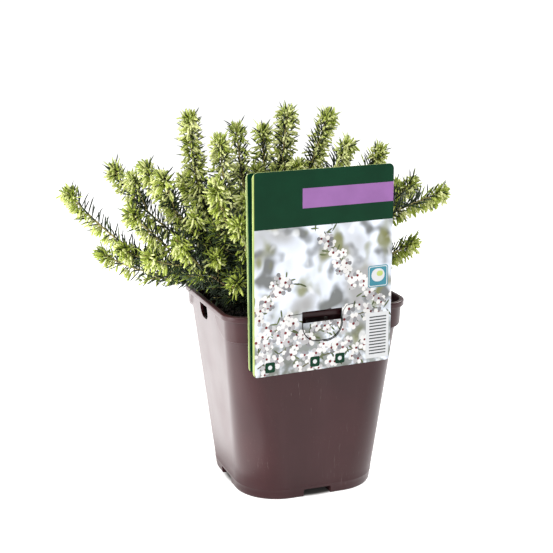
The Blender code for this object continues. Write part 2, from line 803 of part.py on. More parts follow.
def make_tongue(group):
    """Strip that runs from the window's upper edge over the rim, down inside the wall and out
    through the front slot, ending in a rounded head."""
    front = front_depth(WINDOW_CENTRE, 0)
    inner = -BODY_TOP_HALF[1] + WALL
    over = POT_HEIGHT + GAP + CARD_SHEET / 2 + 0.0002
    slot_middle = POT_HEIGHT - SLOT_DROP - SLOT_HEIGHT / 2
    route = [(front, WINDOW_TOP + 0.0006), (front + 0.0016, WINDOW_TOP + 0.0002), (-RIM_HALF[1] - 0.0010, over + 0.0006),
             (-RIM_HALF[1] + 0.0010, over + 0.0003), (inner - 0.0004, over + 0.0003), (inner + 0.0014, over - 0.0008),
             (inner + 0.0018, over - 0.0030), (inner + 0.0018, slot_middle + 0.0035),
             (inner + 0.0004, slot_middle + 0.0008), (-BODY_TOP_HALF[1] - 0.0006, slot_middle),
             (front + 0.0008, slot_middle - 0.0006), (front, slot_middle - 0.0016)]
    half = TONGUE_NECK / 2
    bm = bmesh.new()
    left = [bm.verts.new((WINDOW_CENTRE - half, y, z)) for y, z in route]
    right = [bm.verts.new((WINDOW_CENTRE + half, y, z)) for y, z in route]
    for i in range(len(route) - 1):
        bm.faces.new((left[i], left[i + 1], right[i + 1], right[i]))
    mesh = bpy.data.meshes.new("tongue_strip")
    bm.to_mesh(mesh)
    bm.free()
    strip = place("tongue_strip", mesh, group)
    thick = strip.modifiers.new("Sheet", "SOLIDIFY")
    thick.thickness = CARD_SHEET
    thick.offset = 0.0
    return strip


def make_card(group, cutters, finish):
    turn = math.atan2(FRONT_OPEN_Y - FRONT_FOLD_Y, CARD_LEFT - CARD_RIGHT) + math.pi
    tilt = Matrix.Translation((CARD_RIGHT, FRONT_FOLD_Y, 0)) @ Matrix.Rotation(turn, 4, "Z") @ \
        Matrix.Translation((-CARD_RIGHT, -FRONT_FOLD_Y, 0))

    front = plate("card_front_leaf", [
        rounded_outline(CARD_LEFT, CARD_RIGHT, CARD_BOTTOM, CARD_TOP, CARD_CORNER),
        window_outline(0.0)], CARD_SHEET, group, tilt @ upright_matrix(FRONT_FOLD_Y))
    front.data.materials.append(finish)
    head = plate("tongue_head", [window_outline(-TONGUE_MARGIN, TONGUE_TOP)], CARD_SHEET, cutters,
                 tilt @ upright_matrix(FRONT_FOLD_Y))
    strip = make_tongue(cutters)
    for piece in (head, strip):
        hide_cutter(piece)
        cut(front, piece, "UNION")

    back = leaf_sheet("card_back_leaf", CARD_LEFT, CARD_RIGHT, CARD_BOTTOM + 0.001,
                      CARD_TOP - BACK_TRIM + 0.0002, 4, 8, back_depth, group)
    back.data.materials.append(finish)
    die = plate("back_leaf_die", [
        rounded_outline(CARD_LEFT + 0.0002, CARD_RIGHT - 0.0002, CARD_BOTTOM + 0.0012,
                        CARD_TOP - BACK_TRIM, CARD_CORNER),
        window_outline(BACK_WINDOW_GROW, WINDOW_TOP + 0.0020)], 0.060, cutters, upright_matrix(BACK_Y))
    hide_cutter(die)
    cut(back, die, "INTERSECT")


# ---------------------------------------------------------------- assembly

def build():
    clear_scene()
    parts = collection("potted_winter_heath")
    cutters = collection("cutters")
    work = collection("work")
    finishes = {
        "pot": material("pot_plastic", (0.075, 0.034, 0.037), 0.38),
        "soil": material("compost", (0.018, 0.013, 0.010), 0.95),
        "wood": material("heath_wood", (0.105, 0.060, 0.034), 0.80),
        "leaf": material("heath_leaf", (0.140, 0.260, 0.035), 0.60),
        "card": material("printed_card", (0.250, 0.420, 0.330), 0.35),
    }
    make_pot(parts, cutters, finishes["pot"])
    make_soil(parts, cutters, finishes["soil"])
    make_crown(parts, finishes["wood"])
    make_card(parts, cutters, finishes["card"])
    make_shoots(parts, work, finishes)


build()
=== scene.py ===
"""Looks of the potted winter heath: a tapered square nursery pot, its compost, a woody crown with
needle-clad shoots, and a folded care card hooked over the rim. Metres, +Z up, card towards -Y."""
import json
import math
import random
from collections import namedtuple

import bmesh
import bpy
import numpy as np
from mathutils import Matrix, Vector, geometry, noise

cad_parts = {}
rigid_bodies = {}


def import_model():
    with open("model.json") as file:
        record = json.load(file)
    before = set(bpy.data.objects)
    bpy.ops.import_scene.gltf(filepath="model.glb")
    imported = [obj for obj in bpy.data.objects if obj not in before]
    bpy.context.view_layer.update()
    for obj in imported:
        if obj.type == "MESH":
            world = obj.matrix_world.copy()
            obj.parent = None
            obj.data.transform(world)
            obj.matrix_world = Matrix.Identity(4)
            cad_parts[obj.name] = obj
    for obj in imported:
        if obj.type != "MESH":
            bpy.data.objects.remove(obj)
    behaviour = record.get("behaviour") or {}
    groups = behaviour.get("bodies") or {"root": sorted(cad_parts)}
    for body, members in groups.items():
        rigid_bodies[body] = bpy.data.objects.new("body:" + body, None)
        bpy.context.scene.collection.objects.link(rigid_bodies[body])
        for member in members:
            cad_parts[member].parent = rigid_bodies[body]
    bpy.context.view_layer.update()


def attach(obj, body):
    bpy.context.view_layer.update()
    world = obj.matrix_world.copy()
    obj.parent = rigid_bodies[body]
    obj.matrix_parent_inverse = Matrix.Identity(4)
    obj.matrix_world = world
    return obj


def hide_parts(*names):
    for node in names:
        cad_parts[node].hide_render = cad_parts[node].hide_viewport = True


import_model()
BODY = "root"


# ------------------------------------------------------------------ studio: floor, light and camera
# A white light table that glows most behind the pot on the left, under soft lights high on the
# left, low on the left and high on the right. The camera looks down a little.

scene = bpy.context.scene
scene.view_settings.view_transform = "Standard"
scene.view_settings.look = "None"
scene.render.film_transparent = False

CAMERA_AT = Vector((-0.3008, -0.7798, 0.3523))
CAMERA_AIM = Vector((-0.0102, 0.0038, 0.1427))
camera = bpy.data.objects.new("camera", bpy.data.cameras.new("camera"))
camera.data.sensor_width = 36.0
camera.data.lens = 80.85
camera.data.clip_start = 0.01
camera.location = CAMERA_AT
camera.rotation_euler = (CAMERA_AIM - CAMERA_AT).to_track_quat("-Z", "Y").to_euler()
scene.collection.objects.link(camera)
scene.camera = camera

ROOM_LIGHT = 0.60
world = bpy.data.worlds.new("studio")
world.use_nodes = True
room = world.node_tree.nodes["Background"]
room.inputs["Color"].default_value = (1.0, 1.0, 1.0, 1.0)
room.inputs["Strength"].default_value = ROOM_LIGHT
scene.world = world


def soft_light(name, at, aim, width, watts, colour=(1.0, 1.0, 1.0)):
    light = bpy.data.lights.new(name, "AREA")
    light.shape = "SQUARE"
    light.size = width
    light.energy = watts
    light.color = colour
    lamp = bpy.data.objects.new(name, light)
    lamp.location = at
    lamp.rotation_euler = (Vector(aim) - Vector(at)).to_track_quat("-Z", "Y").to_euler()
    lamp.visible_camera = False
    scene.collection.objects.link(lamp)


WARM_WHITE = (1.0, 0.985, 0.96)
soft_light("key", (-0.70, -0.60, 1.30), (0.0, 0.0, 0.15), 0.70, 13.2, WARM_WHITE)
soft_light("side_box", (-0.90, -0.12, 0.12), (0.0, 0.0, 0.05), 0.50, 7.5)
soft_light("back_box", (0.76, 0.24, 0.80), (0.05, 0.0, 0.20), 0.50, 10.5)
soft_light("table_glow", (-0.463, 0.29, 0.004), (-0.463, 0.29, 1.0), 0.80, 4.2)


class Shade:
    """A socket of a material that can be used in sums; other nodes come from node()."""

    def __init__(self, tree, socket):
        self.tree = tree
        self.socket = socket

    def node(self, kind, settings, sockets, out=0):
        made = self.tree.nodes.new("ShaderNode" + kind)
        for key, value in settings.items():
            setattr(made, key, value)
        for key, value in sockets.items():
            if isinstance(value, Shade):
                self.tree.links.new(value.socket, made.inputs[key])
            else:
                made.inputs[key].default_value = value
        return Shade(self.tree, made.outputs[out])

    def __add__(self, other):
        return self.node("Math", {"operation": "ADD"}, {0: self, 1: other})

    def __mul__(self, other):
        return self.node("Math", {"operation": "MULTIPLY"}, {0: self, 1: other})

    __radd__ = __add__
    __rmul__ = __mul__

    def rise(self, low, high):
        """0 below low, 1 above high, smooth between."""
        return self.node("MapRange", {"interpolation_type": "SMOOTHSTEP"},
                         {"Value": self, "From Min": low, "From Max": high})

    def tint(self, low, high):
        """Colour that goes from low to high as this value goes from 0 to 1."""
        low, high = [c if isinstance(c, Shade) else (*c, 1.0) for c in (low, high)]
        return self.node("Mix", {"data_type": "RGBA"}, {0: self, 6: low, 7: high}, out=2)

    def stretch(self, x, y, z):
        return self.node("VectorMath", {"operation": "MULTIPLY"}, {0: self, 1: (x, y, z)})

    def axis(self, letter):
        return self.node("SeparateXYZ", {}, {0: self}, out="XYZ".index(letter))

    def reach(self):
        """How far this place is from the object's origin."""
        return self.node("VectorMath", {"operation": "LENGTH"}, {0: self}, out=1)

    def grain(self, scale, detail=3.0, roughness=0.5):
        """Fractal noise at this place; scale is in lumps per metre."""
        return self.node("TexNoise", {}, {"Vector": self, "Scale": scale, "Detail": detail,
                                          "Roughness": roughness})

    def into(self, shader, name):
        self.tree.links.new(self.socket, shader.inputs[name])

    def bump(self, shader, distance, strength):
        bumped = self.node("Bump", {}, {"Height": self, "Distance": distance, "Strength": strength})
        bumped.into(shader, "Normal")


def new_finish(name, **fixed):
    """A material, its shader with its constant values set, and the place on the object."""
    material = bpy.data.materials.new(name)
    material.use_nodes = True
    shader = material.node_tree.nodes["Principled BSDF"]
    for key, value in fixed.items():
        shader.inputs[key.replace("_", " ")].default_value = value
    coords = material.node_tree.nodes.new("ShaderNodeTexCoord")
    return material, shader, Shade(material.node_tree, coords.outputs["Object"])


FLOOR_HALF = 30
# Under the pot the floor is dim out to the first radius, and lit from the second
POT_SHADE = (0.046, 0.0515)


def floor_finish():
    """White paper lit from within, and dim where the pot keeps the light off it."""
    paper, shader, place = new_finish("white_paper", Roughness=0.6, Specular_IOR_Level=0.0,
                                      Emission_Strength=0.52)
    lit = place.reach().rise(*POT_SHADE)
    lit.tint((0.20, 0.19, 0.18), (0.93, 0.93, 0.93)).into(shader, "Base Color")
    lit.tint((0.02, 0.02, 0.02), (1.0, 1.0, 1.0)).into(shader, "Emission Color")
    return paper


floor_corners = [(-FLOOR_HALF, -FLOOR_HALF, 0), (FLOOR_HALF, -FLOOR_HALF, 0),
                 (FLOOR_HALF, FLOOR_HALF, 0), (-FLOOR_HALF, FLOOR_HALF, 0)]
floor_mesh = bpy.data.meshes.new("floor")
floor_mesh.from_pydata(floor_corners, [], [(0, 1, 2, 3)])
floor = bpy.data.objects.new("floor", floor_mesh)
scene.collection.objects.link(floor)
floor_mesh.materials.append(floor_finish())


# ------------------------------------------------------------------ pot
# Thin injection-moulded nursery pot in dark maroon plastic. A rounded square body tapers down to
# four feet; a squarer band under the rim is left out in an arch round each card slot.


def add_piece(name, mesh, material, slot, *nodes, smooth=True):
    """Puts a finished mesh on the plant: smooth or flat, riding on the one body."""
    if material and not mesh.materials:
        mesh.materials.append(material)
    mesh.polygons.foreach_set("use_smooth", [smooth] * len(mesh.polygons))
    piece = bpy.data.objects.new(name, mesh)
    scene.collection.objects.link(piece)
    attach(piece, BODY)
    if nodes:
        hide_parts(*nodes)
    return piece


# Half widths in X and Y, corner radii and heights
POT_TALL = 0.133
FOOT_HALF = (0.0490, 0.0490)
FOOT_CORNER = 0.0300
BODY_HALF = (0.0629, 0.0536)
BODY_CORNER = 0.0172
BAND_FOOT_HALF = (0.0623, 0.0542)
BAND_HALF = (0.0634, 0.0545)
BAND_CORNER = 0.0150
BAND_TALL = 0.0190
BAND_EDGE = 0.0009
BAND_DEEP = 0.012
RIM_HALF = (0.0650, 0.0560)
RIM_CORNER = 0.0165
RIM_TALL = 0.0040
WALL = 0.0016
POT_FLOOR = 0.0072
ARCH_NARROW = 0.0250
ARCH_WIDE = 0.0500
CORNER_STEPS = 22
SIDE_STEPS = 130
# Bearing of each wall in degrees, and how far its slot is off the middle
SLOTS = {
    "front": (-90, -0.0030),
    "right": (0, -0.0080),
    "back": (90, 0.0030),
    "left": (180, -0.0080),
}


def rounded_square(half, corner, corner_steps, side_steps):
    """Points round a rounded rectangle, evenly spaced along each corner and each side."""
    points = []
    signs = [(1, 1), (-1, 1), (-1, -1), (1, -1)]
    centres = [np.array([(half[0] - corner) * x, (half[1] - corner) * y]) for x, y in signs]
    for quarter, centre in enumerate(centres):
        for step in range(corner_steps):
            turn = math.radians(90 * (quarter + step / corner_steps))
            points.append(centre + corner * np.array([math.cos(turn), math.sin(turn)]))
        turn = math.radians(90 * (quarter + 1))
        out = corner * np.array([math.cos(turn), math.sin(turn)])
        start, end = centre + out, centres[(quarter + 1) % 4] + out
        for step in range(side_steps):
            points.append(start + (end - start) * step / side_steps)
    return np.array(points)


def in_band(points, height):
    """1 where the squarer band stands, 0 inside an arch or below the band, soft at its edges."""
    over_foot = height - (POT_TALL - BAND_TALL)
    present = np.full(len(points), np.clip(over_foot / BAND_EDGE, 0, 1))
    for bearing, shift in SLOTS.values():
        turn = math.radians(bearing)
        outward = points @ np.array([math.cos(turn), math.sin(turn)])
        along = points @ np.array([-math.sin(turn), math.cos(turn)]) - shift
        face = BAND_HALF[0] if abs(math.cos(turn)) > 0.5 else BAND_HALF[1]
        across = np.maximum(ARCH_WIDE - np.abs(along), 0) / (ARCH_WIDE - ARCH_NARROW)
        down = max(POT_TALL - height, 1e-5) / BAND_TALL
        size = np.sqrt(across ** 2 + down ** 2)
        length = np.hypot(across * (ARCH_WIDE - ARCH_NARROW), down * BAND_TALL)
        inside = np.clip(length * (1 / size - 1) / BAND_EDGE, 0, 1)
        present = np.where(outward > face - BAND_DEEP, np.minimum(present, inside), present)
    return (present * present * (3 - 2 * present))[:, None]


def at_height(flat, height):
    return np.column_stack([flat, np.full(len(flat), height)])


def wall_ring(height, inset=0.0):
    """One turn of the pot's wall: the tapered body, with the band standing out of it."""
    share = height / POT_TALL
    half = [low + (high - low) * share - inset for low, high in zip(FOOT_HALF, BODY_HALF)]
    corner = FOOT_CORNER + (BODY_CORNER - FOOT_CORNER) * share - inset
    body = rounded_square(half, corner, CORNER_STEPS, SIDE_STEPS)
    if height <= POT_TALL - BAND_TALL:
        return at_height(body, height)
    rise = 1 - (POT_TALL - height) / BAND_TALL
    half = [low + (high - low) * rise - inset for low, high in zip(BAND_FOOT_HALF, BAND_HALF)]
    band = rounded_square(half, BAND_CORNER - inset, CORNER_STEPS, SIDE_STEPS)
    return at_height(body + (band - body) * in_band(band, height), height)


def rim_ring(height, inset):
    half = [size - inset for size in RIM_HALF]
    return at_height(rounded_square(half, RIM_CORNER - inset, CORNER_STEPS, SIDE_STEPS), height)


def skin(name, rings):
    """Closed mesh through rings of equal length, with a flat face over each end."""
    count = len(rings[0])
    points = np.concatenate(rings)
    one = np.arange(count)
    two = (one + 1) % count
    quad = np.column_stack([one, two, two + count, one + count])
    faces = [tuple(face) for row in range(len(rings) - 1) for face in (quad + row * count).tolist()]
    faces.append(tuple(range(count))[::-1])
    faces.append(tuple(range(len(points) - count, len(points))))
    mesh = bpy.data.meshes.new(name)
    mesh.from_pydata(points.tolist(), [], faces)
    return mesh


# Height and inset of each turn of the rounded foot, and the heights of the plain wall over it
FOOT_ROUND = ((0.0, 0.0016), (0.0, 0.0010), (0.00012, 0.0006), (0.00045, 0.00025),
              (0.0010, 0.00006), (0.0016, 0.0))
WALL_HEIGHTS = (0.004, 0.0064, 0.0068, 0.0072, 0.0076, 0.012, 0.020, 0.032, 0.046, 0.060, 0.074,
                0.088, 0.100, 0.110, 0.1134)
FOOT_LINE = (0.0068, 0.0072)
FOOT_LINE_PROUD = 0.00016
# First height, step and count of the close turns of the band, outside and inside
BAND_FIRST, BAND_RISE, BAND_RINGS = 0.1138, 0.0004, 38
INNER_FIRST, INNER_FALL, INNER_RINGS = 0.1318, 0.0008, 24
INNER_HEIGHTS = (0.1130, 0.100, 0.050, POT_FLOOR)


def pot_rings():
    under = [wall_ring(height, inset) for height, inset in FOOT_ROUND]
    lower = [wall_ring(height, -FOOT_LINE_PROUD if height in FOOT_LINE else 0.0)
             for height in WALL_HEIGHTS]
    band = [wall_ring(BAND_FIRST + BAND_RISE * step) for step in range(BAND_RINGS)]
    rim_foot = POT_TALL - RIM_TALL
    rim = [(rim_foot, 0.0006), (rim_foot + 0.00008, 0.0002), (rim_foot + 0.0003, 0.00003),
           (rim_foot + 0.0006, 0.0), (POT_TALL - 0.0010, 0.0), (POT_TALL - 0.0005, 0.00010),
           (POT_TALL - 0.00015, 0.0004), (POT_TALL, 0.0009), (POT_TALL, 0.0026),
           (POT_TALL - 0.0002, 0.0030), (POT_TALL - 0.0006, 0.0032)]
    lip = [wall_ring(rim_foot)] + [rim_ring(height, inset) for height, inset in rim]
    inner = [wall_ring(INNER_FIRST - INNER_FALL * step, WALL) for step in range(INNER_RINGS)]
    inner += [wall_ring(height, WALL) for height in INNER_HEIGHTS]
    return under + lower + band + lip + inner


def turned(degrees, axis):
    return Matrix.Rotation(math.radians(degrees), 4, axis)


def prism(name, outline, low, high, matrix, group):
    """Solid with a flat outline, from low to high along its own Z."""
    bm = bmesh.new()
    foot = [bm.verts.new((x, y, low)) for x, y in outline]
    head = [bm.verts.new((x, y, high)) for x, y in outline]
    bm.faces.new(foot[::-1])
    bm.faces.new(head)
    for i in range(len(outline)):
        j = (i + 1) % len(outline)
        bm.faces.new((foot[i], foot[j], head[j], head[i]))
    bmesh.ops.recalc_face_normals(bm, faces=bm.faces)
    mesh = bpy.data.meshes.new(name)
    bm.to_mesh(mesh)
    bm.free()
    piece = bpy.data.objects.new(name, mesh)
    piece.matrix_world = matrix
    group.objects.link(piece)


def arc(centre, radius, start, end, steps):
    turns = [math.radians(start + (end - start) * step / steps) for step in range(steps + 1)]
    return [(centre[0] + radius * math.cos(t), centre[1] + radius * math.sin(t)) for t in turns]


def slot_outline():
    """Card slot: flat across the top, round at its lower corners."""
    half, top, bottom, corner = 0.0080, POT_TALL - 0.0050, POT_TALL - 0.0165, 0.0060
    left = arc((corner - half, bottom + corner), corner, 180, 270, 8)
    right = arc((half - corner, bottom + corner), corner, 270, 360, 8)
    return [(half, top), (-half, top)] + left + right


def notch_outline():
    """Gap between two feet, with small rounded upper corners."""
    half, top, corner, under = 0.0100, 0.0053, 0.0012, -0.004
    right = arc((half - corner, top - corner), corner, 0, 90, 4)
    left = arc((corner - half, top - corner), corner, 90, 180, 4)
    return [(-half, under), (half, under)] + right + left


# How far from the middle of the wall, or of the pot, each cutter reaches
SLOT_CUT = 0.006
NOTCH_CUT = (FOOT_HALF[0] - 0.0140, FOOT_HALF[0] + 0.012)
DRAIN_AT = FOOT_HALF[0] - 0.0070
DRAIN_RADIUS = 0.0035
DRAIN_CUT = (0.004, 0.012)


def cut_openings(pot):
    """Slots, foot notches and drain holes, taken out of the pot in one go."""
    cutters = bpy.data.collections.new("pot_cutters")
    scene.collection.children.link(cutters)
    drain = arc((0, DRAIN_AT), DRAIN_RADIUS, 0, 345, 23)
    for side, (bearing, shift) in SLOTS.items():
        half = BODY_HALF[0] if side in ("left", "right") else BODY_HALF[1]
        facing = turned(bearing + 90, "Z")
        in_wall = facing @ Matrix.Translation((shift, -half, 0)) @ turned(90, "X")
        under_wall = facing @ turned(90, "X")
        prism("slot_" + side, slot_outline(), -SLOT_CUT, SLOT_CUT, in_wall, cutters)
        prism("notch_" + side, notch_outline(), *NOTCH_CUT, under_wall, cutters)
        prism("drain_" + side, drain, *DRAIN_CUT, turned(bearing - 90, "Z"), cutters)
    bpy.context.view_layer.update()
    step = pot.modifiers.new("openings", "BOOLEAN")
    step.operation = "DIFFERENCE"
    step.operand_type = "COLLECTION"
    step.collection = cutters
    step.solver = "EXACT"
    graph = bpy.context.evaluated_depsgraph_get()
    mesh = bpy.data.meshes.new_from_object(pot.evaluated_get(graph))
    pot.modifiers.clear()
    for cutter in list(cutters.objects):
        bpy.data.objects.remove(cutter, do_unlink=True)
    bpy.data.collections.remove(cutters)
    return mesh


def sharpen(mesh, degrees):
    """Marks the edges that bend by more than this, so that they stay crisp."""
    marks = mesh.attributes.new("sharp_edge", "BOOLEAN", "EDGE")
    limit = math.radians(degrees)
    work = bmesh.new()
    work.from_mesh(mesh)
    bent = [len(edge.link_faces) == 2 and edge.calc_face_angle(0.0) > limit for edge in work.edges]
    work.free()
    marks.data.foreach_set("value", bent)


MAROON = ((0.0275, 0.0040, 0.0058), (0.0355, 0.0070, 0.0088))
FLOW_TINT = (0.052, 0.019, 0.022)
SCUFF_TINT = (0.20, 0.150, 0.145)
DUST_TINT = (0.22, 0.17, 0.15)


def pot_finish():
    """Maroon plastic, cloudy where it cooled, with fine moulding grain, scuffs and dust."""
    plastic, shader, place = new_finish("maroon_plastic", Specular_IOR_Level=0.30,
                                        Sheen_Weight=0.06, Sheen_Roughness=0.35)
    cloud = place.grain(22, 4).rise(0.35, 0.70)
    flow = place.stretch(1, 1, 0.12).grain(90, 3).rise(0.40, 0.75)
    scuffs = place.stretch(1, 1, 0.10).grain(520, 3, 0.7).rise(0.60, 0.78)
    worn = place.grain(26, 2).rise(0.50, 0.68) * place.axis("Z").rise(0.112, 0.075)
    dust = place.grain(900, 2).rise(0.62, 0.78) * place.grain(40, 2).rise(0.45, 0.7)
    colour = (flow * 0.26).tint(cloud.tint(*MAROON), FLOW_TINT)
    colour = (scuffs * worn * 0.55).tint(colour, SCUFF_TINT)
    (dust * 0.10).tint(colour, DUST_TINT).into(shader, "Base Color")
    (0.33 + cloud * 0.07 + scuffs * worn * 0.20 + dust * 0.15).into(shader, "Roughness")
    (place.grain(1400, 2) * 0.4 + place.grain(60, 2)).bump(shader, 0.00010, 0.5)
    return plastic


pot_body = bpy.data.objects.new("pot_blank", skin("pot_blank", pot_rings()))
scene.collection.objects.link(pot_body)
pot_mesh = cut_openings(pot_body)
bpy.data.objects.remove(pot_body, do_unlink=True)
pot_mesh.name = "nursery_pot"
add_piece("nursery_pot", pot_mesh, pot_finish(), "pot_plastic", "pot")
sharpen(pot_mesh, 38)


# ------------------------------------------------------------------ compost
# Dark moist peat, heaped a little round the crown and shrunk from the wall by a hair. Crumbs and
# pale root fibres lie on it, each kind joined into one piece.

CROWN = Vector((-0.0140, 0.0030, 0.1233))
CROWN_RADIUS = 0.0115
SOIL_TOP = 0.1160
SOIL_EDGE = 0.1105
SOIL_SINK = 0.0004
SOIL_GAP = 0.0004
SOIL_UNDER = 0.092
SOIL_CORNER = 0.0175
SOIL_LEVEL = 0.83
SOIL_RINGS = 46
# Lumps per metre, and how high they stand
SOIL_LUMPS = (160, 0.0011)
SOIL_GRAINS = (900, 0.00035)


def soil_height(x, y, share):
    """Height of the compost's top; share is 0 at the wall and 1 at the crown."""
    lump = noise.fractal(Vector((x, y, 0.3)) * SOIL_LUMPS[0], 0.8, 2.1, 4) * SOIL_LUMPS[1]
    fine = noise.noise(Vector((x, y, 1.7)) * SOIL_GRAINS[0]) * SOIL_GRAINS[1]
    fade = min(1.0, (1 - share) * 5)
    heap = SOIL_EDGE + (SOIL_TOP - SOIL_EDGE) * math.sin(share * math.pi / 2)
    return heap + (lump + fine) * fade - SOIL_SINK


def soil_rings():
    half = [low + (high - low) * SOIL_LEVEL - WALL - SOIL_GAP
            for low, high in zip(FOOT_HALF, BODY_HALF)]
    edge = rounded_square(half, SOIL_CORNER, 14, 34)
    middle = np.array(CROWN.xy)
    rings = [at_height(edge * 0.985, SOIL_UNDER)]
    for step in range(SOIL_RINGS):
        share = step / SOIL_RINGS
        spots = middle + (edge - middle) * (1 - share)
        rings.append(np.array([(x, y, soil_height(x, y, share)) for x, y in spots]))
    return rings


def any_bearing(chance):
    """A bearing in radians, anywhere round the circle."""
    return chance.uniform(0, 6.28)


def crumb_shape(seed):
    """Small many-sided crumb, as points and triangles."""
    bm = bmesh.new()
    bmesh.ops.create_icosphere(bm, subdivisions=1, radius=1.0)
    for vert in bm.verts:
        vert.co *= 1 + 0.45 * noise.noise(vert.co * 1.3 + Vector((seed, 0, 0)))
    points = np.array([vert.co[:] for vert in bm.verts])
    faces = [[vert.index for vert in face.verts] for face in bm.faces]
    bm.free()
    return points, faces


class Heap:
    """Many small things gathered into one mesh."""

    def __init__(self):
        self.points = []
        self.faces = []
        self.count = 0

    def add(self, points, faces):
        self.points.append(points)
        self.faces.append(np.asarray(faces) + self.count)
        self.count += len(points)

    def mesh(self, name):
        points = np.concatenate(self.points)
        faces = [face for group in self.faces for face in group.tolist()]
        mesh = bpy.data.meshes.new(name)
        mesh.from_pydata(points.tolist(), [], faces)
        return mesh


def faces_round(rows, sides):
    """Triangles between rings of points, row by row."""
    faces = []
    for row in range(rows - 1):
        for i in range(sides):
            here, beside = row * sides + i, row * sides + (i + 1) % sides
            faces += [(here, beside, beside + sides), (here, beside + sides, here + sides)]
    return faces


def tube(points, radii, sides=6, relief=0.0, phase=0.0):
    """Limb of a given radius at each point, closed at both ends; relief roughens it like bark."""
    points = np.asarray(points, float)
    ahead = np.gradient(points, axis=0)
    ahead /= np.linalg.norm(ahead, axis=1)[:, None]
    side = np.cross(ahead[0], (0.31, 0.52, 0.79))
    side /= np.linalg.norm(side)
    turns = np.arange(sides) * 2 * math.pi / sides
    rings = []
    for i, (centre, along) in enumerate(zip(points, ahead)):
        side = side - along * (side @ along)
        side /= np.linalg.norm(side)
        other = np.cross(along, side)
        radius = radii[i]
        if relief:
            rough = []
            for t in turns:
                knob = noise.noise(Vector((math.cos(t) * 2, math.sin(t) * 2, i * 0.35 + phase)))
                rough.append(1 + relief * (knob + 0.5 * math.sin(3 * t + phase)))
            radius = radius * np.array(rough)[:, None]
        circle = np.cos(turns)[:, None] * side + np.sin(turns)[:, None] * other
        rings.append(centre + circle * radius)
    faces = faces_round(len(rings), sides)
    last = (len(rings) - 1) * sides
    for i in range(1, sides - 1):
        faces += [(0, i + 1, i), (last, last + i, last + i + 1)]
    return np.concatenate(rings), faces


CRUMBS = 1500
CRUMB_SMALLEST = 0.00035
CRUMB_SPREAD = 0.0011
CRUMB_AREA = (0.0575, 0.0490)
CRUMB_CORNER = 0.016
CRUMB_ROUND = 0.0155
FIBRES = 45
FIBRE_LONG = (0.004, 0.014)
FIBRE_CURL = 1.6
FIBRE_LIFT = 0.0005
FIBRE_WAVE = 0.0006
FIBRE_AREA = (0.055, 0.0465)
FIBRE_RADIUS = 0.00012


def scatter_crumbs():
    chance = random.Random(11)
    shapes = [crumb_shape(seed) for seed in range(6)]
    heap = Heap()
    half_x, half_y = CRUMB_AREA
    while len(heap.points) < CRUMBS:
        x, y = chance.uniform(-half_x, half_x), chance.uniform(-half_y, half_y)
        past_x, past_y = abs(x) - half_x + CRUMB_CORNER, abs(y) - half_y + CRUMB_CORNER
        if math.hypot(max(past_x, 0), max(past_y, 0)) > CRUMB_ROUND:
            continue
        reach = max(abs(x - CROWN.x) / (half_x + abs(CROWN.x)), abs(y - CROWN.y) / half_y)
        size = CRUMB_SMALLEST + CRUMB_SPREAD * chance.random() ** 3
        points, faces = chance.choice(shapes)
        turn = Matrix.Rotation(any_bearing(chance), 3, "Z")
        turn = turn @ Matrix.Rotation(any_bearing(chance), 3, "X")
        scale = np.array([size * chance.uniform(0.8, 1.6), size, size * chance.uniform(0.5, 0.9)])
        level = soil_height(x, y, max(0.0, 1 - reach)) + size * 0.25
        heap.add((points * scale) @ np.array(turn).T + np.array([x, y, level]), faces)
    return heap.mesh("compost_crumbs")


def scatter_fibres():
    chance = random.Random(12)
    heap = Heap()
    for _ in range(FIBRES):
        x, y = chance.uniform(-0.052, 0.052), chance.uniform(-0.044, 0.044)
        bearing, length = any_bearing(chance), chance.uniform(*FIBRE_LONG)
        curl = chance.uniform(-FIBRE_CURL, FIBRE_CURL)
        spots = []
        for step in range(7):
            reach = max(abs(x - CROWN.x) / 0.072, abs(y - CROWN.y) / 0.049)
            soil = soil_height(x, y, max(0.0, 1 - reach))
            spots.append((x, y, soil + FIBRE_LIFT + FIBRE_WAVE * math.sin(step / 2)))
            x = min(max(x + math.cos(bearing) * length / 6, -FIBRE_AREA[0]), FIBRE_AREA[0])
            y = min(max(y + math.sin(bearing) * length / 6, -FIBRE_AREA[1]), FIBRE_AREA[1])
            bearing += curl / 6
        heap.add(*tube(spots, [FIBRE_RADIUS] * len(spots), sides=4))
    return heap.mesh("root_fibres")


PEAT = ((0.0045, 0.0032, 0.0025), (0.030, 0.020, 0.0135))
PEAT_FLECK = (0.085, 0.055, 0.034)
FIBRE = ((0.055, 0.036, 0.020), (0.16, 0.11, 0.06))


def peat_finish():
    peat, shader, place = new_finish("moist_peat", Specular_IOR_Level=0.35)
    clod = place.grain(420, 5, 0.65)
    fleck = place.grain(1500, 2).rise(0.66, 0.78) * 0.5
    fleck.tint(clod.rise(0.30, 0.72).tint(*PEAT), PEAT_FLECK).into(shader, "Base Color")
    (0.72 + clod * 0.25).into(shader, "Roughness")
    (clod + place.grain(2200, 2) * 0.4).bump(shader, 0.0006, 0.8)
    return peat


def fibre_finish():
    fibre, shader, place = new_finish("root_fibre")
    place.grain(300, 2).rise(0.3, 0.7).tint(*FIBRE).into(shader, "Base Color")
    (0.7 + place.grain(600, 1) * 0.2).into(shader, "Roughness")
    return fibre


peat_material = peat_finish()
add_piece("compost_heap", skin("compost_heap", soil_rings()), peat_material, "compost", "compost")
add_piece("compost_crumbs", scatter_crumbs(), peat_material, "compost")
add_piece("root_fibres", scatter_fibres(), fibre_finish(), "compost")


# ------------------------------------------------------------------ shoot lines
# The rule that every shoot follows from the crown to its tip, with its side shoots. Each keeps to
# its own share of the crown, and clear of the compost, the rim and the card.

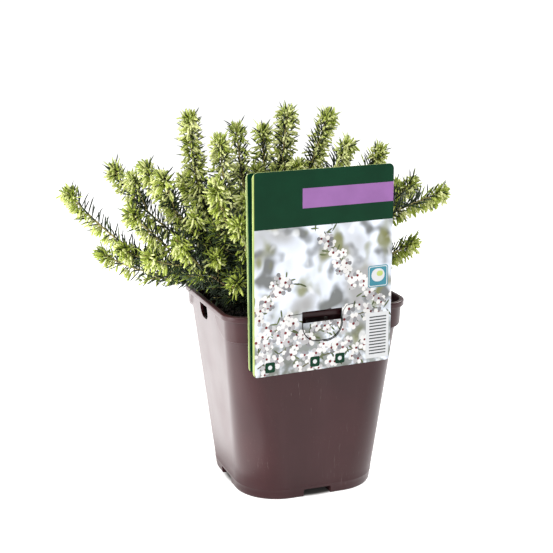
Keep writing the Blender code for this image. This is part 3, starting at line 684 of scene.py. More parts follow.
# Tip bearing about the pot (degrees), tip reach and tip height (mm), rise at the foot and at the
# tip (degrees above level), and the number of side shoots
SHOOTS = {
    "far_left": (162, 154, 206, 17, 54, 1),
    "low_left": (153, 138, 158, 24, 34, 1),
    "back_left": (151, 127, 218, 36, 62, 2),
    "mid_left": (171, 102, 225, 40, 58, 2),
    "left_low": (177, 114, 197, 26, 50, 1),
    "tall_left": (161, 69, 257, 44, 92, 1),
    "upper_left": (177, 51, 243, 62, 88, 1),
    "upper_mid": (138, 41, 247, 78, 88, 1),
    "upper_back": (97, 45, 243, 66, 80, 0),
    "top": (78, 20, 258, 84, 76, 1),
    "top_right": (17, 33, 256, 72, 66, 1),
    "right_near": (-28, 39, 239, 60, 60, 1),
    "right_high": (-7, 64, 232, 55, 58, 1),
    "right_mid": (-4, 91, 207, 40, 42, 1),
    "far_right": (-20, 106, 203, 46, 18, 0),
    "low_right": (-22, 86, 169, 26, 30, 0),
    "front_low": (-146, 68, 149, 28, -10, 0),
    "front_tall": (-159, 68, 218, 48, 72, 1),
    "front_mid": (-144, 66, 194, 44, 55, 0),
    "front_out": (-167, 91, 180, 24, 52, 1),
    "rear_left": (122, 98, 196, 28, 52, 1),
    "rear": (92, 102, 206, 30, 55, 1),
    "rear_right": (58, 96, 200, 30, 52, 1),
    "right_back": (22, 108, 197, 34, 46, 1),
    "card_left": (-95, 44, 186, 46, 70, 0),
    "card_right": (-52, 50, 176, 34, 66, 0),
}
# Least angle between two feet in degrees, and least upward part of a foot's direction
FOOT_SPACING = 15.0
LOWEST_FOOT = 0.12
EASING_ROUNDS = 120
# The bare foot of a shoot, as a share of its length and at most
BARE_SHARE = 0.20
BARE_MOST = 0.023
PATH_POINTS = 41
BEND_SHARE = 0.36
SIDE_LONG = (0.026, 0.040)
SIDE_TRIES = 24
SIDE_POINTS = 9
SIDE_ROOM = 0.0105
SIDE_CLEAR = 0.006
CARD_RIGHT = 0.0480
CARD_LEFT = -0.0520
CARD_TOP = 0.2280
CARD_SHEET = 0.0008
BACK_Y = -0.0567
BACK_LEAN = 0.0040


def heading(bearing, rise):
    level = math.cos(rise)
    return Vector((level * math.cos(bearing), level * math.sin(bearing), math.sin(rise)))


def shoot_tip(name):
    bearing, reach, height = SHOOTS[name][:3]
    turn = math.radians(bearing)
    return Vector((reach * math.cos(turn), reach * math.sin(turn), height)) / 1000


def spread_feet():
    """Start direction of each shoot, eased apart until no two feet crowd each other."""
    feet = {}
    for name, (_, _, _, foot_rise, _, _) in SHOOTS.items():
        away = shoot_tip(name) - CROWN
        feet[name] = heading(math.atan2(away.y, away.x), math.radians(foot_rise))
    for _ in range(EASING_ROUNDS):
        for a in feet:
            for b in feet:
                if a == b:
                    continue
                short = math.radians(FOOT_SPACING) - feet[a].angle(feet[b])
                if short > 0:
                    push = (feet[a] - feet[b]).normalized() * short * 0.5
                    feet[a] = (feet[a] + push).normalized()
                    feet[b] = (feet[b] - push).normalized()
        for way in feet.values():
            if way.z < LOWEST_FOOT:
                way.z = LOWEST_FOOT
                way.normalize()
    return feet


def shoot_path(name, foot):
    tip = shoot_tip(name)
    away = tip - CROWN
    tip_rise = math.radians(SHOOTS[name][4])
    start = CROWN + foot * (CROWN_RADIUS + 0.0003)
    reach = (tip - start).length * BEND_SHARE
    leave = start + foot * reach
    arrive = tip - heading(math.atan2(away.y, away.x), tip_rise) * reach
    points = []
    for step in range(PATH_POINTS):
        t = step / (PATH_POINTS - 1)
        points.append(start * (1 - t) ** 3 + leave * 3 * t * (1 - t) ** 2
                      + arrive * 3 * t * t * (1 - t) + tip * t ** 3)
    return points


def lengths_along(points):
    run = [0.0]
    for a, b in zip(points, points[1:]):
        run.append(run[-1] + (b - a).length)
    return run


def point_at(points, run, distance):
    distance = min(max(distance, 0.0), run[-1])
    for i in range(len(points) - 1):
        if distance <= run[i + 1]:
            share = (distance - run[i]) / (run[i + 1] - run[i])
            return points[i].lerp(points[i + 1], share), (points[i + 1] - points[i]).normalized()
    return points[-1].copy(), (points[-1] - points[-2]).normalized()


def spots_at(points, run, marks):
    return [point_at(points, run, mark)[0] for mark in marks]


class Space:
    """Knows every shoot's line, so that each can keep to its own share of the crown."""

    def __init__(self, paths):
        self.lines = {name: [np.array(points)] for name, points in paths.items()}

    def nearest_other(self, name, point):
        spot = np.array(point)
        others = [line for other, lines in self.lines.items() if other != name for line in lines]
        return min([1.0] + [float(np.linalg.norm(line - spot, axis=1).min()) for line in others])

    def add(self, name, points):
        self.lines[name].append(np.array(points))


def clear_of_fixtures(point, margin):
    """True where a point keeps clear of the compost, the pot's wall and rim, and the card."""
    x, y, z = point
    if z < SOIL_TOP + margin:
        return False
    room_x, room_y = [half - 2 * WALL - margin for half in BODY_HALF]
    if (abs(x) > room_x or abs(y) > room_y) and z < POT_TALL + margin:
        return False
    if CARD_LEFT - margin < x < CARD_RIGHT + margin and z < CARD_TOP + 0.006 + margin:
        open_share = (CARD_RIGHT - x) / (CARD_RIGHT - CARD_LEFT)
        high_share = max(0.0, (z - POT_TALL) / (CARD_TOP - POT_TALL))
        if y < BACK_Y + BACK_LEAN * open_share * high_share + CARD_SHEET + margin:
            return False
    return True


def side_path(space, name, points, share, chance):
    """Short side shoot that leaves its parent and bends to run beside it; None if crowded."""
    run = lengths_along(points)
    start, along = point_at(points, run, run[-1] * share)
    length = chance.uniform(*SIDE_LONG)
    for _ in range(SIDE_TRIES):
        spin = Matrix.Rotation(chance.uniform(0, 2 * math.pi), 3, along)
        outward = (spin @ along.orthogonal().normalized() + Vector((0, 0, 0.5))).normalized()
        leave = (along * 0.62 + outward * 0.80).normalized()
        arrive = (along * 0.85 + outward * 0.45 + Vector((0, 0, 0.25))).normalized()
        bend = start + leave * length * 0.5
        end = bend + arrive * length * 0.5
        path = []
        for step in range(SIDE_POINTS):
            t = step / (SIDE_POINTS - 1)
            path.append(start * (1 - t) ** 2 + bend * 2 * t * (1 - t) + end * t * t)
        if all(space.nearest_other(name, p) > SIDE_ROOM and clear_of_fixtures(p, SIDE_CLEAR)
               for p in path[4:]):
            return path
    return None


def grow_sides(space, paths):
    sides = {}
    for name, points in paths.items():
        sides[name] = []
        for number in range(SHOOTS[name][5]):
            chance = random.Random(f"{name} side {number}")
            share = 0.48 + 0.20 * number + chance.uniform(-0.04, 0.04)
            path = side_path(space, name, points, share, chance)
            if path:
                space.add(name, path)
                sides[name].append(path)
    return sides


foot_ways = spread_feet()
shoot_lines = {name: shoot_path(name, foot_ways[name]) for name in SHOOTS}
crown_space = Space(shoot_lines)
side_lines = grow_sides(crown_space, shoot_lines)


# ------------------------------------------------------------------ crown and boughs
# The old wood: a knobbly burl on a flared foot, and one bare bough to each shoot. The bark is
# grey-brown and flaking, with ridges raised in the mesh itself.

BURL_RIBS = 9
BOUGH_FOOT = 0.00125
BOUGH_TAPER = 0.00035


def crown_rings():
    rings = []
    foot = SOIL_TOP + 0.0003 - CROWN.z
    profile = [(0.0130, foot), (0.0122, foot * 0.8), (0.0116, foot * 0.5)]
    profile.append((CROWN_RADIUS, foot * 0.2))
    profile += [(CROWN_RADIUS * math.cos(turn), CROWN_RADIUS * math.sin(turn))
                for turn in np.linspace(0.05, 1.50, 16)]
    for radius, rise in profile:
        ring = []
        for step in range(64):
            turn = 2 * math.pi * step / 64
            way = Vector((math.cos(turn) * radius, math.sin(turn) * radius, rise))
            knob = noise.fractal(way * 260, 0.9, 2.0, 4)
            rib = 0.00035 * math.sin(BURL_RIBS * turn + 2.5 * noise.noise(way * 130))
            swell = 1 - max(0.0, rise / CROWN_RADIUS) * 0.25
            ring.append(CROWN + way + way.normalized() * (0.0009 * knob - 0.0007 + rib * swell))
        rings.append(np.array([tuple(point) for point in ring]))
    return rings


def bare_length(run):
    return min(BARE_MOST, run[-1] * BARE_SHARE)


def bough_heap():
    heap = Heap()
    for number, (name, points) in enumerate(shoot_lines.items()):
        run = lengths_along(points)
        bare = bare_length(run)
        marks = np.linspace(-0.0009, bare + 0.0002, 26)
        spots = [point_at(points, run, mark)[0] if mark > 0 else points[0] - foot_ways[name] * -mark
                 for mark in marks]
        radii = [BOUGH_FOOT - BOUGH_TAPER * max(mark, 0) / bare for mark in marks]
        heap.add(*tube(spots, radii, sides=10, relief=0.16, phase=number * 3.1))
    return heap.mesh("bare_boughs")


BARK = ((0.030, 0.018, 0.011), (0.155, 0.105, 0.066))
BARK_BLOOM = (0.19, 0.165, 0.13)


def bark_finish():
    bark, shader, place = new_finish("heath_bark", Specular_IOR_Level=0.3)
    flake = place.stretch(1, 1, 0.35).grain(700, 4, 0.6)
    bloom = place.grain(160, 2).rise(0.5, 0.7) * 0.5
    bloom.tint(flake.rise(0.32, 0.68).tint(*BARK), BARK_BLOOM).into(shader, "Base Color")
    (0.68 + flake * 0.25).into(shader, "Roughness")
    (flake + place.grain(2400, 2) * 0.3).bump(shader, 0.0004, 0.8)
    return bark


bark_material = bark_finish()
crown_mesh = skin("crown_burl", crown_rings())
add_piece("crown_burl", crown_mesh, bark_material, "heath_wood", "crown_stem")
bough_nodes = ["bough_" + name for name in SHOOTS]
add_piece("bare_boughs", bough_heap(), bark_material, "heath_wood", *bough_nodes)


# ------------------------------------------------------------------ leafy shoots
# Each mass grows on from its bough: a thin twig with whorls of four needles, flower buds hanging
# on its outer side, short sprigs low down, and a tight rosette of young leaves at every tip.


def spindle(width, thick, bend, sides, profile):
    """Leaf or bud of length 1 that points along +Z from its root and curves towards +X."""
    turns = np.arange(sides) * 2 * math.pi / sides + math.pi / sides
    rings = []
    for at, wide in profile:
        x = np.cos(turns) * thick * wide / 2 + bend * at * at
        y = np.sin(turns) * width * wide / 2
        rings.append(np.column_stack([x, y, np.full(sides, at)]))
    points = np.concatenate(rings + [np.array([[bend, 0.0, 1.0]])])
    faces = faces_round(len(profile), sides)
    last = (len(profile) - 1) * sides
    faces += [(last + i, last + (i + 1) % sides, len(points) - 1) for i in range(sides)]
    faces += [(0, i + 1, i) for i in range(1, sides - 1)]
    return points, np.array(faces)


NEEDLE_SHAPES = [spindle(0.115, 0.088, bend, 3, [(0.0, 0.55), (0.18, 1.0), (0.72, 0.95)])
                 for bend in (-0.12, -0.05, 0.04, 0.12)]
YOUNG_SHAPES = [spindle(0.29, 0.20, bend, 4, [(0.0, 0.5), (0.35, 1.0), (0.86, 0.78)])
                for bend in (-0.34, -0.20, -0.05)]
BUD_SHAPES = [spindle(0.28, 0.26, bend, 4, [(0.0, 0.35), (0.30, 0.90), (0.82, 0.90)])
              for bend in (-0.06, 0.08, 0.20)]
# Shortest and longest of each kind
NEEDLE_LONG = (0.0100, 0.0132)
LAST_NEEDLE_LONG = (0.0072, 0.0096)
TUFT_LONG = (0.0045, 0.0065)
YOUNG_LONG = (0.0042, 0.0060)
BUD_LONG = (0.0048, 0.0068)
SPRIG_LONG = (0.009, 0.019)
# Radii of the twigs: at the foot and how much thinner at the tip, or at both ends
TWIG_FOOT = 0.00095
TWIG_TAPER = 0.00035
SIDE_TWIG = (0.00062, 0.00036)
SPRIG_TWIG = (0.00045, 0.00025)
STALK_RADIUS = 0.00018
# How far a needle's root stands off the middle of the twig
NEEDLE_ROOT = 0.00045
SPRIGS = 14
# How far from the tip a shoot counts as its tip
TIP_STRETCH = 0.024
# Whorls stand this far apart at the foot, and this much further at the tip
WHORL_STEP = 0.0017
WHORL_STEP_GROWS = 0.0010
# A needle's lean off the twig in degrees: its range, and what a wide gap adds and the tip takes off
NEEDLE_LEAN = (44, 72)
GAP_LEAN = 16
TIP_LEAN = 13
# Length of a bud's stalk, and how often such a bud is missing
STALKS = ((0.0010, 0.30), (0.0033, 0.35))
# Buds start at a share of the shoot and at a distance from the crown, and fill up over the second
# number of each pair. Leaving them off the plant's shaded inside keeps it dark: painted shade
BUDS_ALONG = (0.34, 0.30)
BUDS_OUT_OF_SHADE = (0.055, 0.030)
ROSETTE_LAYERS, ROSETTE_ROUND, ROSETTE_NEEDLES = 6, 11, 12
TUFT_LEAVES = 7
DOWN = np.array([0.0, 0.0, -1.0])

# Each finish: its name, its darkest and lightest colour, and its roughness
LEAF_FINISHES = {
    "old_twigs": ("brown_twig", (0.110, 0.078, 0.034), (0.230, 0.165, 0.078), 0.62),
    "green_twigs": ("olive_twig", (0.260, 0.225, 0.075), (0.430, 0.370, 0.150), 0.55),
    "dark_needles": ("dark_needle", (0.0110, 0.0190, 0.0105), (0.0300, 0.0450, 0.0230), 0.46),
    "green_needles": ("green_needle", (0.028, 0.050, 0.018), (0.078, 0.115, 0.036), 0.48),
    "lime_needles": ("lime_needle", (0.125, 0.172, 0.014), (0.330, 0.400, 0.070), 0.50),
    "pale_needles": ("pale_needle", (0.330, 0.400, 0.095), (0.530, 0.600, 0.180), 0.50),
    "pale_buds": ("pale_bud", (0.450, 0.495, 0.160), (0.680, 0.710, 0.335), 0.52),
    "lime_buds": ("lime_bud", (0.205, 0.265, 0.026), (0.430, 0.500, 0.105), 0.52),
}
heaps = {kind: Heap() for kind in LEAF_FINISHES}

# Kinds that have a paler form, and how their share grows with height: from nothing at the first
# height, to the given share over the given rise, but no more than the most. More pale leaves high
# up are partly young growth and partly a painted highlight on the plant's top
PALER = {"lime_needles": "pale_needles", "lime_buds": "pale_buds"}
PALE_AND_LIT_FROM = 0.188
PALE_AND_LIT_OVER = 0.040
PALE_AND_LIT_SHARE = 0.80
PALE_AND_LIT_MOST = 0.60


def placed(shape, root, way, outer, length):
    """A shape's points at a root, along a direction, with its +X side facing outer."""
    z = np.asarray(way) / np.linalg.norm(way)
    x = np.asarray(outer) - z * (np.asarray(outer) @ z)
    x /= np.linalg.norm(x) + 1e-9
    y = np.cross(z, x)
    return shape[0] @ np.array([x, y, z]) * length + np.asarray(root)


def add_leaf(tone, shapes, root, way, outer, length, chance):
    """Adds a leaf where it has room. More are pale high up: young growth and painted highlight."""
    pale = min(PALE_AND_LIT_MOST, PALE_AND_LIT_SHARE * (root[2] - PALE_AND_LIT_FROM) / PALE_AND_LIT_OVER)
    if tone in PALER and chance.random() < pale:
        tone = PALER[tone]
    way = way / np.linalg.norm(way)
    tip = root + way * length
    if clear_of_fixtures(tip, 0.0006) and clear_of_fixtures((root + tip) / 2, 0.0006):
        shape = chance.choice(shapes)
        heaps[tone].add(placed(shape, root, way, outer, length), shape[1])


def between(first, second, angle):
    """Direction that starts at first and turns by an angle towards second."""
    return first * math.cos(angle) + second * math.sin(angle)


def two_across(along):
    """Two directions square to a twig and to each other."""
    side = np.cross(along, (0.3, 0.5, 0.8))
    side /= np.linalg.norm(side)
    return side, np.cross(along, side)


# How a line is clad: vigour is 1 on a main shoot and less on a sprig, bloom is how full of buds it
# is, fresh how much of it is this year's, and gap how far its whorls stand apart
Habit = namedtuple("Habit", "vigour bloom fresh gap")
BUDDING_VIGOUR = 0.6


def whorl_of_needles(spot, along, hang, at, near_tip, habit, turn, chance):
    """Four stiff needles round the twig; they are fewer on the side that the buds cover."""
    base = np.cross(along, hang)
    for k in range(4):
        angle = turn + math.pi / 2 * k + chance.uniform(-0.25, 0.25)
        out = between(hang, base, angle)
        facing = math.cos(angle)
        budding = facing > 0.2 and at > 0.3 and habit.vigour > BUDDING_VIGOUR
        if budding and chance.random() < 0.5:
            continue
        lean = chance.uniform(*NEEDLE_LEAN) + GAP_LEAN * (habit.gap - 1) - TIP_LEAN * near_tip
        length = chance.uniform(*NEEDLE_LONG) * (1 - 0.12 * near_tip) * (0.58 + 0.42 * habit.vigour)
        if chance.random() < 0.7 * near_tip * habit.fresh:
            tone = "lime_needles"
        elif at > 0.25 and chance.random() < (0.30 + 0.25 * facing) * (0.3 + 0.7 * habit.fresh):
            tone = "green_needles"
        else:
            tone = "dark_needles"
        root = spot + out * NEEDLE_ROOT
        way = between(along, out, math.radians(lean))
        add_leaf(tone, NEEDLE_SHAPES, root, way, out, length, chance)


def hanging_buds(spot, along, hang, near_tip, turn, chance):
    """Long flower buds on short stalks. They hang below a level shoot and ring an upright one."""
    base = np.cross(along, hang)
    lowest = 0.30 - 1.4 * max(near_tip, along[2] ** 4)
    for k in range(6):
        angle = turn + math.pi / 3 * k + chance.uniform(-0.4, 0.4)
        if math.cos(angle) < lowest or chance.random() < 0.12:
            continue
        out = between(hang, base, angle)
        for stalk, missing in STALKS:
            if chance.random() < missing:
                continue
            root = spot + out * (stalk + chance.uniform(0, 0.0010))
            root = root + along * chance.uniform(-0.0012, 0.0012)
            way = out * chance.uniform(0.45, 0.90) + along * chance.uniform(0.0, 0.50)
            way = way + DOWN * chance.uniform(0.15, 0.80) + base * chance.uniform(-0.25, 0.25)
            tone = "pale_buds" if chance.random() < 0.50 else "lime_buds"
            add_leaf(tone, BUD_SHAPES, root, way, DOWN, chance.uniform(*BUD_LONG), chance)
            if stalk > 0.002 and chance.random() < 0.5:
                heaps["green_twigs"].add(*tube([spot, root], [STALK_RADIUS] * 2, sides=3))


def rosette(tip, along, vigour, chance):
    """Club of short young leaves that closes a shoot, with a few old needles standing past it."""
    side, other = two_across(along)
    size = 0.55 + 0.45 * vigour
    for layer in range(ROSETTE_LAYERS):
        for k in range(ROSETTE_ROUND):
            angle = 2 * math.pi * (k + 0.5 * layer) / ROSETTE_ROUND + chance.uniform(-0.3, 0.3)
            out = between(side, other, angle)
            lean = math.radians(100 - 15 * layer + chance.uniform(-16, 16))
            way = between(along, out, lean) + DOWN * chance.uniform(0.0, 0.35)
            back = along * (0.0072 - 0.0013 * layer)
            root = tip + (out * chance.uniform(0.0008, 0.0028) - back) * size
            roll = chance.random()
            tone = "pale_buds" if roll < 0.10 else "lime_buds" if roll < 0.60 else "lime_needles"
            length = chance.uniform(*YOUNG_LONG) * size
            add_leaf(tone, YOUNG_SHAPES, root, way, out, length, chance)
    for k in range(ROSETTE_NEEDLES):
        out = between(side, other, 2.4 * k + chance.uniform(-0.3, 0.3))
        way = between(along, out, math.radians(20 + 3.2 * k + chance.uniform(-8, 8)))
        tone = chance.choice(("dark_needles", "green_needles", "lime_needles"))
        root = tip - along * (0.0030 + 0.00035 * k) * size
        length = chance.uniform(*LAST_NEEDLE_LONG) * size
        add_leaf(tone, NEEDLE_SHAPES, root, way, out, length, chance)


def sprig_tuft(tip, along, fresh, chance):
    """Few green leaves at the end of a short inner sprig."""
    side, other = two_across(along)
    for k in range(TUFT_LEAVES):
        out = between(side, other, 2 * math.pi * k / TUFT_LEAVES + chance.uniform(-0.3, 0.3))
        way = between(along, out, math.radians(chance.uniform(15, 60)))
        roll = chance.random()
        tone = "green_needles" if roll < 0.85 else "dark_needles"
        if roll < 0.6 * fresh:
            tone = "lime_needles"
        add_leaf(tone, NEEDLE_SHAPES, tip, way, out, chance.uniform(*TUFT_LONG), chance)


def grow_leaves(points, start, habit, chance):
    """Whorls, buds and a closing tuft along one line. No buds deep in the plant: painted shade."""
    run = lengths_along(points)
    total = run[-1]
    middle = np.array(CROWN)
    mark = start
    turn = any_bearing(chance)
    while mark < total - 0.0030 * habit.vigour:
        spot, along = [np.array(value) for value in point_at(points, run, mark)]
        away = spot - middle
        away[2] = 0
        hang = DOWN * 0.95 + away / (np.linalg.norm(away) + 0.012) * 0.75
        hang -= along * (hang @ along)
        hang /= np.linalg.norm(hang) + 1e-9
        near_tip = max(0.0, 1 - (total - mark) / (TIP_STRETCH * habit.vigour))
        at = mark / total
        whorl_of_needles(spot, along, hang, at, near_tip, habit, turn, chance)
        if habit.vigour > BUDDING_VIGOUR:
            ripe = (at - BUDS_ALONG[0]) / BUDS_ALONG[1]
            # Buds thin out towards the crown, where shade falls: painted shade
            lit = (float(np.linalg.norm(spot - middle)) - BUDS_OUT_OF_SHADE[0]) / BUDS_OUT_OF_SHADE[1]
            full = habit.bloom * min(1.0, max(0.0, ripe)) * min(1.0, max(0.0, lit))
            if chance.random() < full:
                hanging_buds(spot, along, hang, near_tip, turn, chance)
            if chance.random() < full * 0.9:
                hanging_buds(spot + along * 0.0012, along, hang, near_tip, turn + 0.5, chance)
        turn += math.pi / 4 + chance.uniform(-0.1, 0.1)
        mark += (WHORL_STEP + WHORL_STEP_GROWS * at) * habit.gap * chance.uniform(0.85, 1.15)
    tip, along = [np.array(value) for value in point_at(points, run, total)]
    if habit.vigour > BUDDING_VIGOUR:
        rosette(tip - along * 0.0026, along, habit.vigour, chance)
    else:
        sprig_tuft(tip, along, habit.fresh, chance)


def grow_sprigs(name, points, bare, chance):
    """Short leafy sprigs that fill the shoot's lower and middle part."""
    run = lengths_along(points)
    for _ in range(SPRIGS):
        share = 0.04 + 0.56 * chance.random() ** 1.5
        root, along = point_at(points, run, max(bare * 0.4, run[-1] * share))
        spin = Matrix.Rotation(any_bearing(chance), 3, along)
        out = spin @ along.orthogonal().normalized()
        length = chance.uniform(*SPRIG_LONG)
        way = (along * 0.7 + out * 0.72).normalized()
        lift = (along * 0.9 + out * 0.35 + Vector((0, 0, 0.2))).normalized()
        line = [root + way * length * t * (1 - 0.3 * t) + lift * length * 0.35 * t * t
                for t in (0, 0.25, 0.5, 0.75, 1)]
        if not all(clear_of_fixtures(p, 0.002) for p in line[2:]):
            continue
        if min(crown_space.nearest_other(name, p) for p in line[2:]) < 0.003:
            continue
        radii = np.linspace(*SPRIG_TWIG, len(line))
        heaps["green_twigs"].add(*tube(line, radii, sides=5))
        fresh = min(1.0, (share / 0.50) ** 2)
        grow_leaves(line, 0.002, Habit(0.55, 0.0, fresh, 1.0), chance)


SHY_SHOOTS = ("low_left", "upper_mid", "rear", "card_left", "card_right")
# How far the whorls of some shoots stand apart, where the others have 1. These shoots are also the
# fullest of buds, unless they are shy
WHORL_GAPS = {
    "tall_left": 0.90, "far_left": 1.25, "low_left": 1.35, "rear": 1.35, "far_right": 0.80,
    "low_right": 0.80, "right_mid": 0.75, "right_high": 0.80, "right_near": 0.80, "top": 0.85,
    "top_right": 0.80,
}


def bloom_of(name, chance):
    if name in SHY_SHOOTS:
        return 0.35
    return 1.15 if name in WHORL_GAPS else chance.uniform(0.75, 1.0)


def grow_shoot(name):
    chance = random.Random("leaves " + name)
    bloom = bloom_of(name, chance)
    points = shoot_lines[name]
    run = lengths_along(points)
    bare = bare_length(run)
    old_end = run[-1] * 0.6
    parts = (("old_twigs", bare, old_end), ("green_twigs", old_end - 0.001, run[-1]))
    for kind, low, high in parts:
        marks = np.linspace(low, high, 24)
        radii = [TWIG_FOOT - TWIG_TAPER * mark / run[-1] for mark in marks]
        spots = spots_at(points, run, marks)
        heaps[kind].add(*tube(spots, radii, sides=7, relief=0.10, phase=low * 900))
    habit = Habit(1.0, bloom, 1.0, WHORL_GAPS.get(name, 1.0))
    grow_leaves(points, bare * 0.20, habit, chance)
    grow_sprigs(name, points, bare, chance)
    for path in side_lines[name]:
        side_run = lengths_along(path)
        spots = spots_at(path, side_run, np.linspace(0, side_run[-1], 12))
        radii = np.linspace(*SIDE_TWIG, len(spots))
        heaps["green_twigs"].add(*tube(spots, radii, sides=6, relief=0.08))
        grow_leaves(path, 0.003, Habit(0.85, bloom, 1.0, 1.0), chance)


def leaf_finish(name, dark, light, roughness):
    """Waxy leaf: its base colour drifts a little along a shoot, and its gloss is uneven."""
    leaf, shader, place = new_finish(name, Specular_IOR_Level=0.25)
    place.grain(140, 2).rise(0.34, 0.66).tint(dark, light).into(shader, "Base Color")
    (roughness + place.grain(500, 1) * 0.16).into(shader, "Roughness")
    return leaf


for shoot_name in SHOOTS:
    grow_shoot(shoot_name)
for kind, look in LEAF_FINISHES.items():
    slot = "heath_wood" if kind == "old_twigs" else "heath_leaf"
    masses = ["mass_" + name for name in SHOOTS] if kind == "old_twigs" else []
    add_piece(kind, heaps[kind].mesh(kind), leaf_finish(*look), slot, *masses)


# ------------------------------------------------------------------ care card
# A printed plastic sheet folded down its right edge. The front leaf hangs flat with its die-cut
# tongue hooked over the rim and out through the slot; the back leaf leans away from it.

MM = 0.001
CARD_THICK = 0.0006
PRINT_PROUD = 0.0003
FRONT_FOLD_Y = -0.0580
FRONT_OPEN_Y = -0.0650
LEAF_TURN = math.atan2(FRONT_FOLD_Y - FRONT_OPEN_Y, CARD_RIGHT - CARD_LEFT)
# The die-cut window, and how near the leaf's edge a cut counts as that edge, in mm on the leaf
WINDOW_X, WINDOW_HALF, WINDOW_BOTTOM, WINDOW_RADIUS = -3, 14.4, 114.4, 11.4
EDGE_BAND = 3.6


def box_outline(left, right, bottom, top, corner=0.0):
    """Rectangle in mm with rounded corners."""
    if not corner:
        return [(right, top), (left, top), (left, bottom), (right, bottom)]
    left, right, bottom, top = left + corner, right - corner, bottom + corner, top - corner
    outline = []
    for quarter, centre in enumerate(((right, top), (left, top), (left, bottom), (right, bottom))):
        outline += arc(centre, corner, 90 * quarter, 90 * (quarter + 1), 5)
    return outline


def window_outline(grow, top):
    """Die-cut window, straight above and deeply rounded below, in mm."""
    half, bottom, radius = WINDOW_HALF + grow, WINDOW_BOTTOM - grow, WINDOW_RADIUS + grow
    left, right = WINDOW_X - half, WINDOW_X + half
    lower_left = arc((left + radius, bottom + radius), radius, 180, 270, 10)
    lower_right = arc((right - radius, bottom + radius), radius, 270, 360, 10)
    return [(right, top), (left, top)] + lower_left + lower_right


def line_outline(points, width):
    """Thin printed or cut line along points, in mm."""
    left, right = [], []
    for i, (x, z) in enumerate(points):
        before, after = points[max(i - 1, 0)], points[min(i + 1, len(points) - 1)]
        dx, dz = after[0] - before[0], after[1] - before[1]
        size = math.hypot(dx, dz)
        left.append((x - dz / size * width / 2, z + dx / size * width / 2))
        right.append((x + dz / size * width / 2, z - dx / size * width / 2))
    return left + right[::-1]


HALF_PETAL = [(0.10, 0.10), (0.45, 0.42), (0.80, 0.46), (1.0, 0.20)]
PETAL = HALF_PETAL + [(a, -b) for a, b in HALF_PETAL[::-1]]


def petal_outline(x, z, way, length, width):
    """One petal of a small blossom, in mm, from its foot at x, z; way is in radians."""
    cos, sin = math.cos(way), math.sin(way)
    return [(x + a * cos * length - b * sin * width, z + a * sin * length + b * cos * width)
            for a, b in PETAL]


def blossom(x, z, size, turn, chance):
    """Plain five-petalled blossom with a dark red eye, as printed outlines."""
    prints = []
    for k in range(5):
        way = turn + 2 * math.pi * k / 5 + chance.uniform(-0.12, 0.12)
        tone = chance.choices(("petal_white", "petal_grey", "petal_shade"), (0.58, 0.28, 0.14))[0]
        length = size * chance.uniform(0.9, 1.1)
        prints.append((tone, petal_outline(x, z, way, length, size * 0.78)))
    prints.append(("eye", arc((x, z), size * 0.25, 0, 300, 5)))
    return prints


# Foot and head of each printed branch in mm, and half its number of leaflets and of blossoms
BRANCHES = [
    ((-49, 101), (38, 132), 22),
    ((44, 136), (-2, 187), 15),
    ((-47, 134), (-26, 158), 8),
    ((-20, 97), (30, 104), 12),
    ((-48, 112), (-22, 128), 9),
]
BRANCH_BOW = 5


def printed_branches():
    """Loose drift of small blossoms and narrow leaves on leaning branches, as outlines in mm."""
    chance = random.Random(5)
    prints = []
    for (foot_x, foot_z), (head_x, head_z), half_count in BRANCHES:
        long_x, long_z = head_x - foot_x, head_z - foot_z
        way = math.atan2(long_z, long_x)
        sin, cos = math.sin(way), math.cos(way)
        stalk = [(foot_x + long_x * t - sin * BRANCH_BOW * math.sin(math.pi * t),
                  foot_z + long_z * t + cos * BRANCH_BOW * math.sin(math.pi * t))
                 for t in (0, 0.2, 0.4, 0.6, 0.8, 1)]
        prints.append(("stalk", line_outline(stalk, 0.9)))
        for _ in range(half_count * 2):
            x, z = stalk[chance.randrange(len(stalk))]
            x, z = x + chance.uniform(-7, 7), z + chance.uniform(-4, 4)
            out = way + chance.choice((-1, 1)) * math.radians(chance.uniform(30, 80))
            prints.append(("leaflet", petal_outline(x, z, out, chance.uniform(4.5, 7.5), 1.3)))
        for i in range(half_count * 2):
            share = (i + chance.random()) / (half_count * 2)
            bow = BRANCH_BOW * math.sin(math.pi * share)
            x = foot_x + long_x * share - sin * (bow + chance.uniform(-8, 8))
            z = foot_z + long_z * share + cos * (bow + chance.uniform(-8, 8))
            prints += blossom(x, z, chance.uniform(3.0, 4.4), any_bearing(chance), chance)
    return prints


def anticlockwise(outline):
    turned_by = sum(a[0] * b[1] - b[0] * a[1] for a, b in zip(outline, outline[1:] + outline[:1]))
    return outline if turned_by > 0 else outline[::-1]


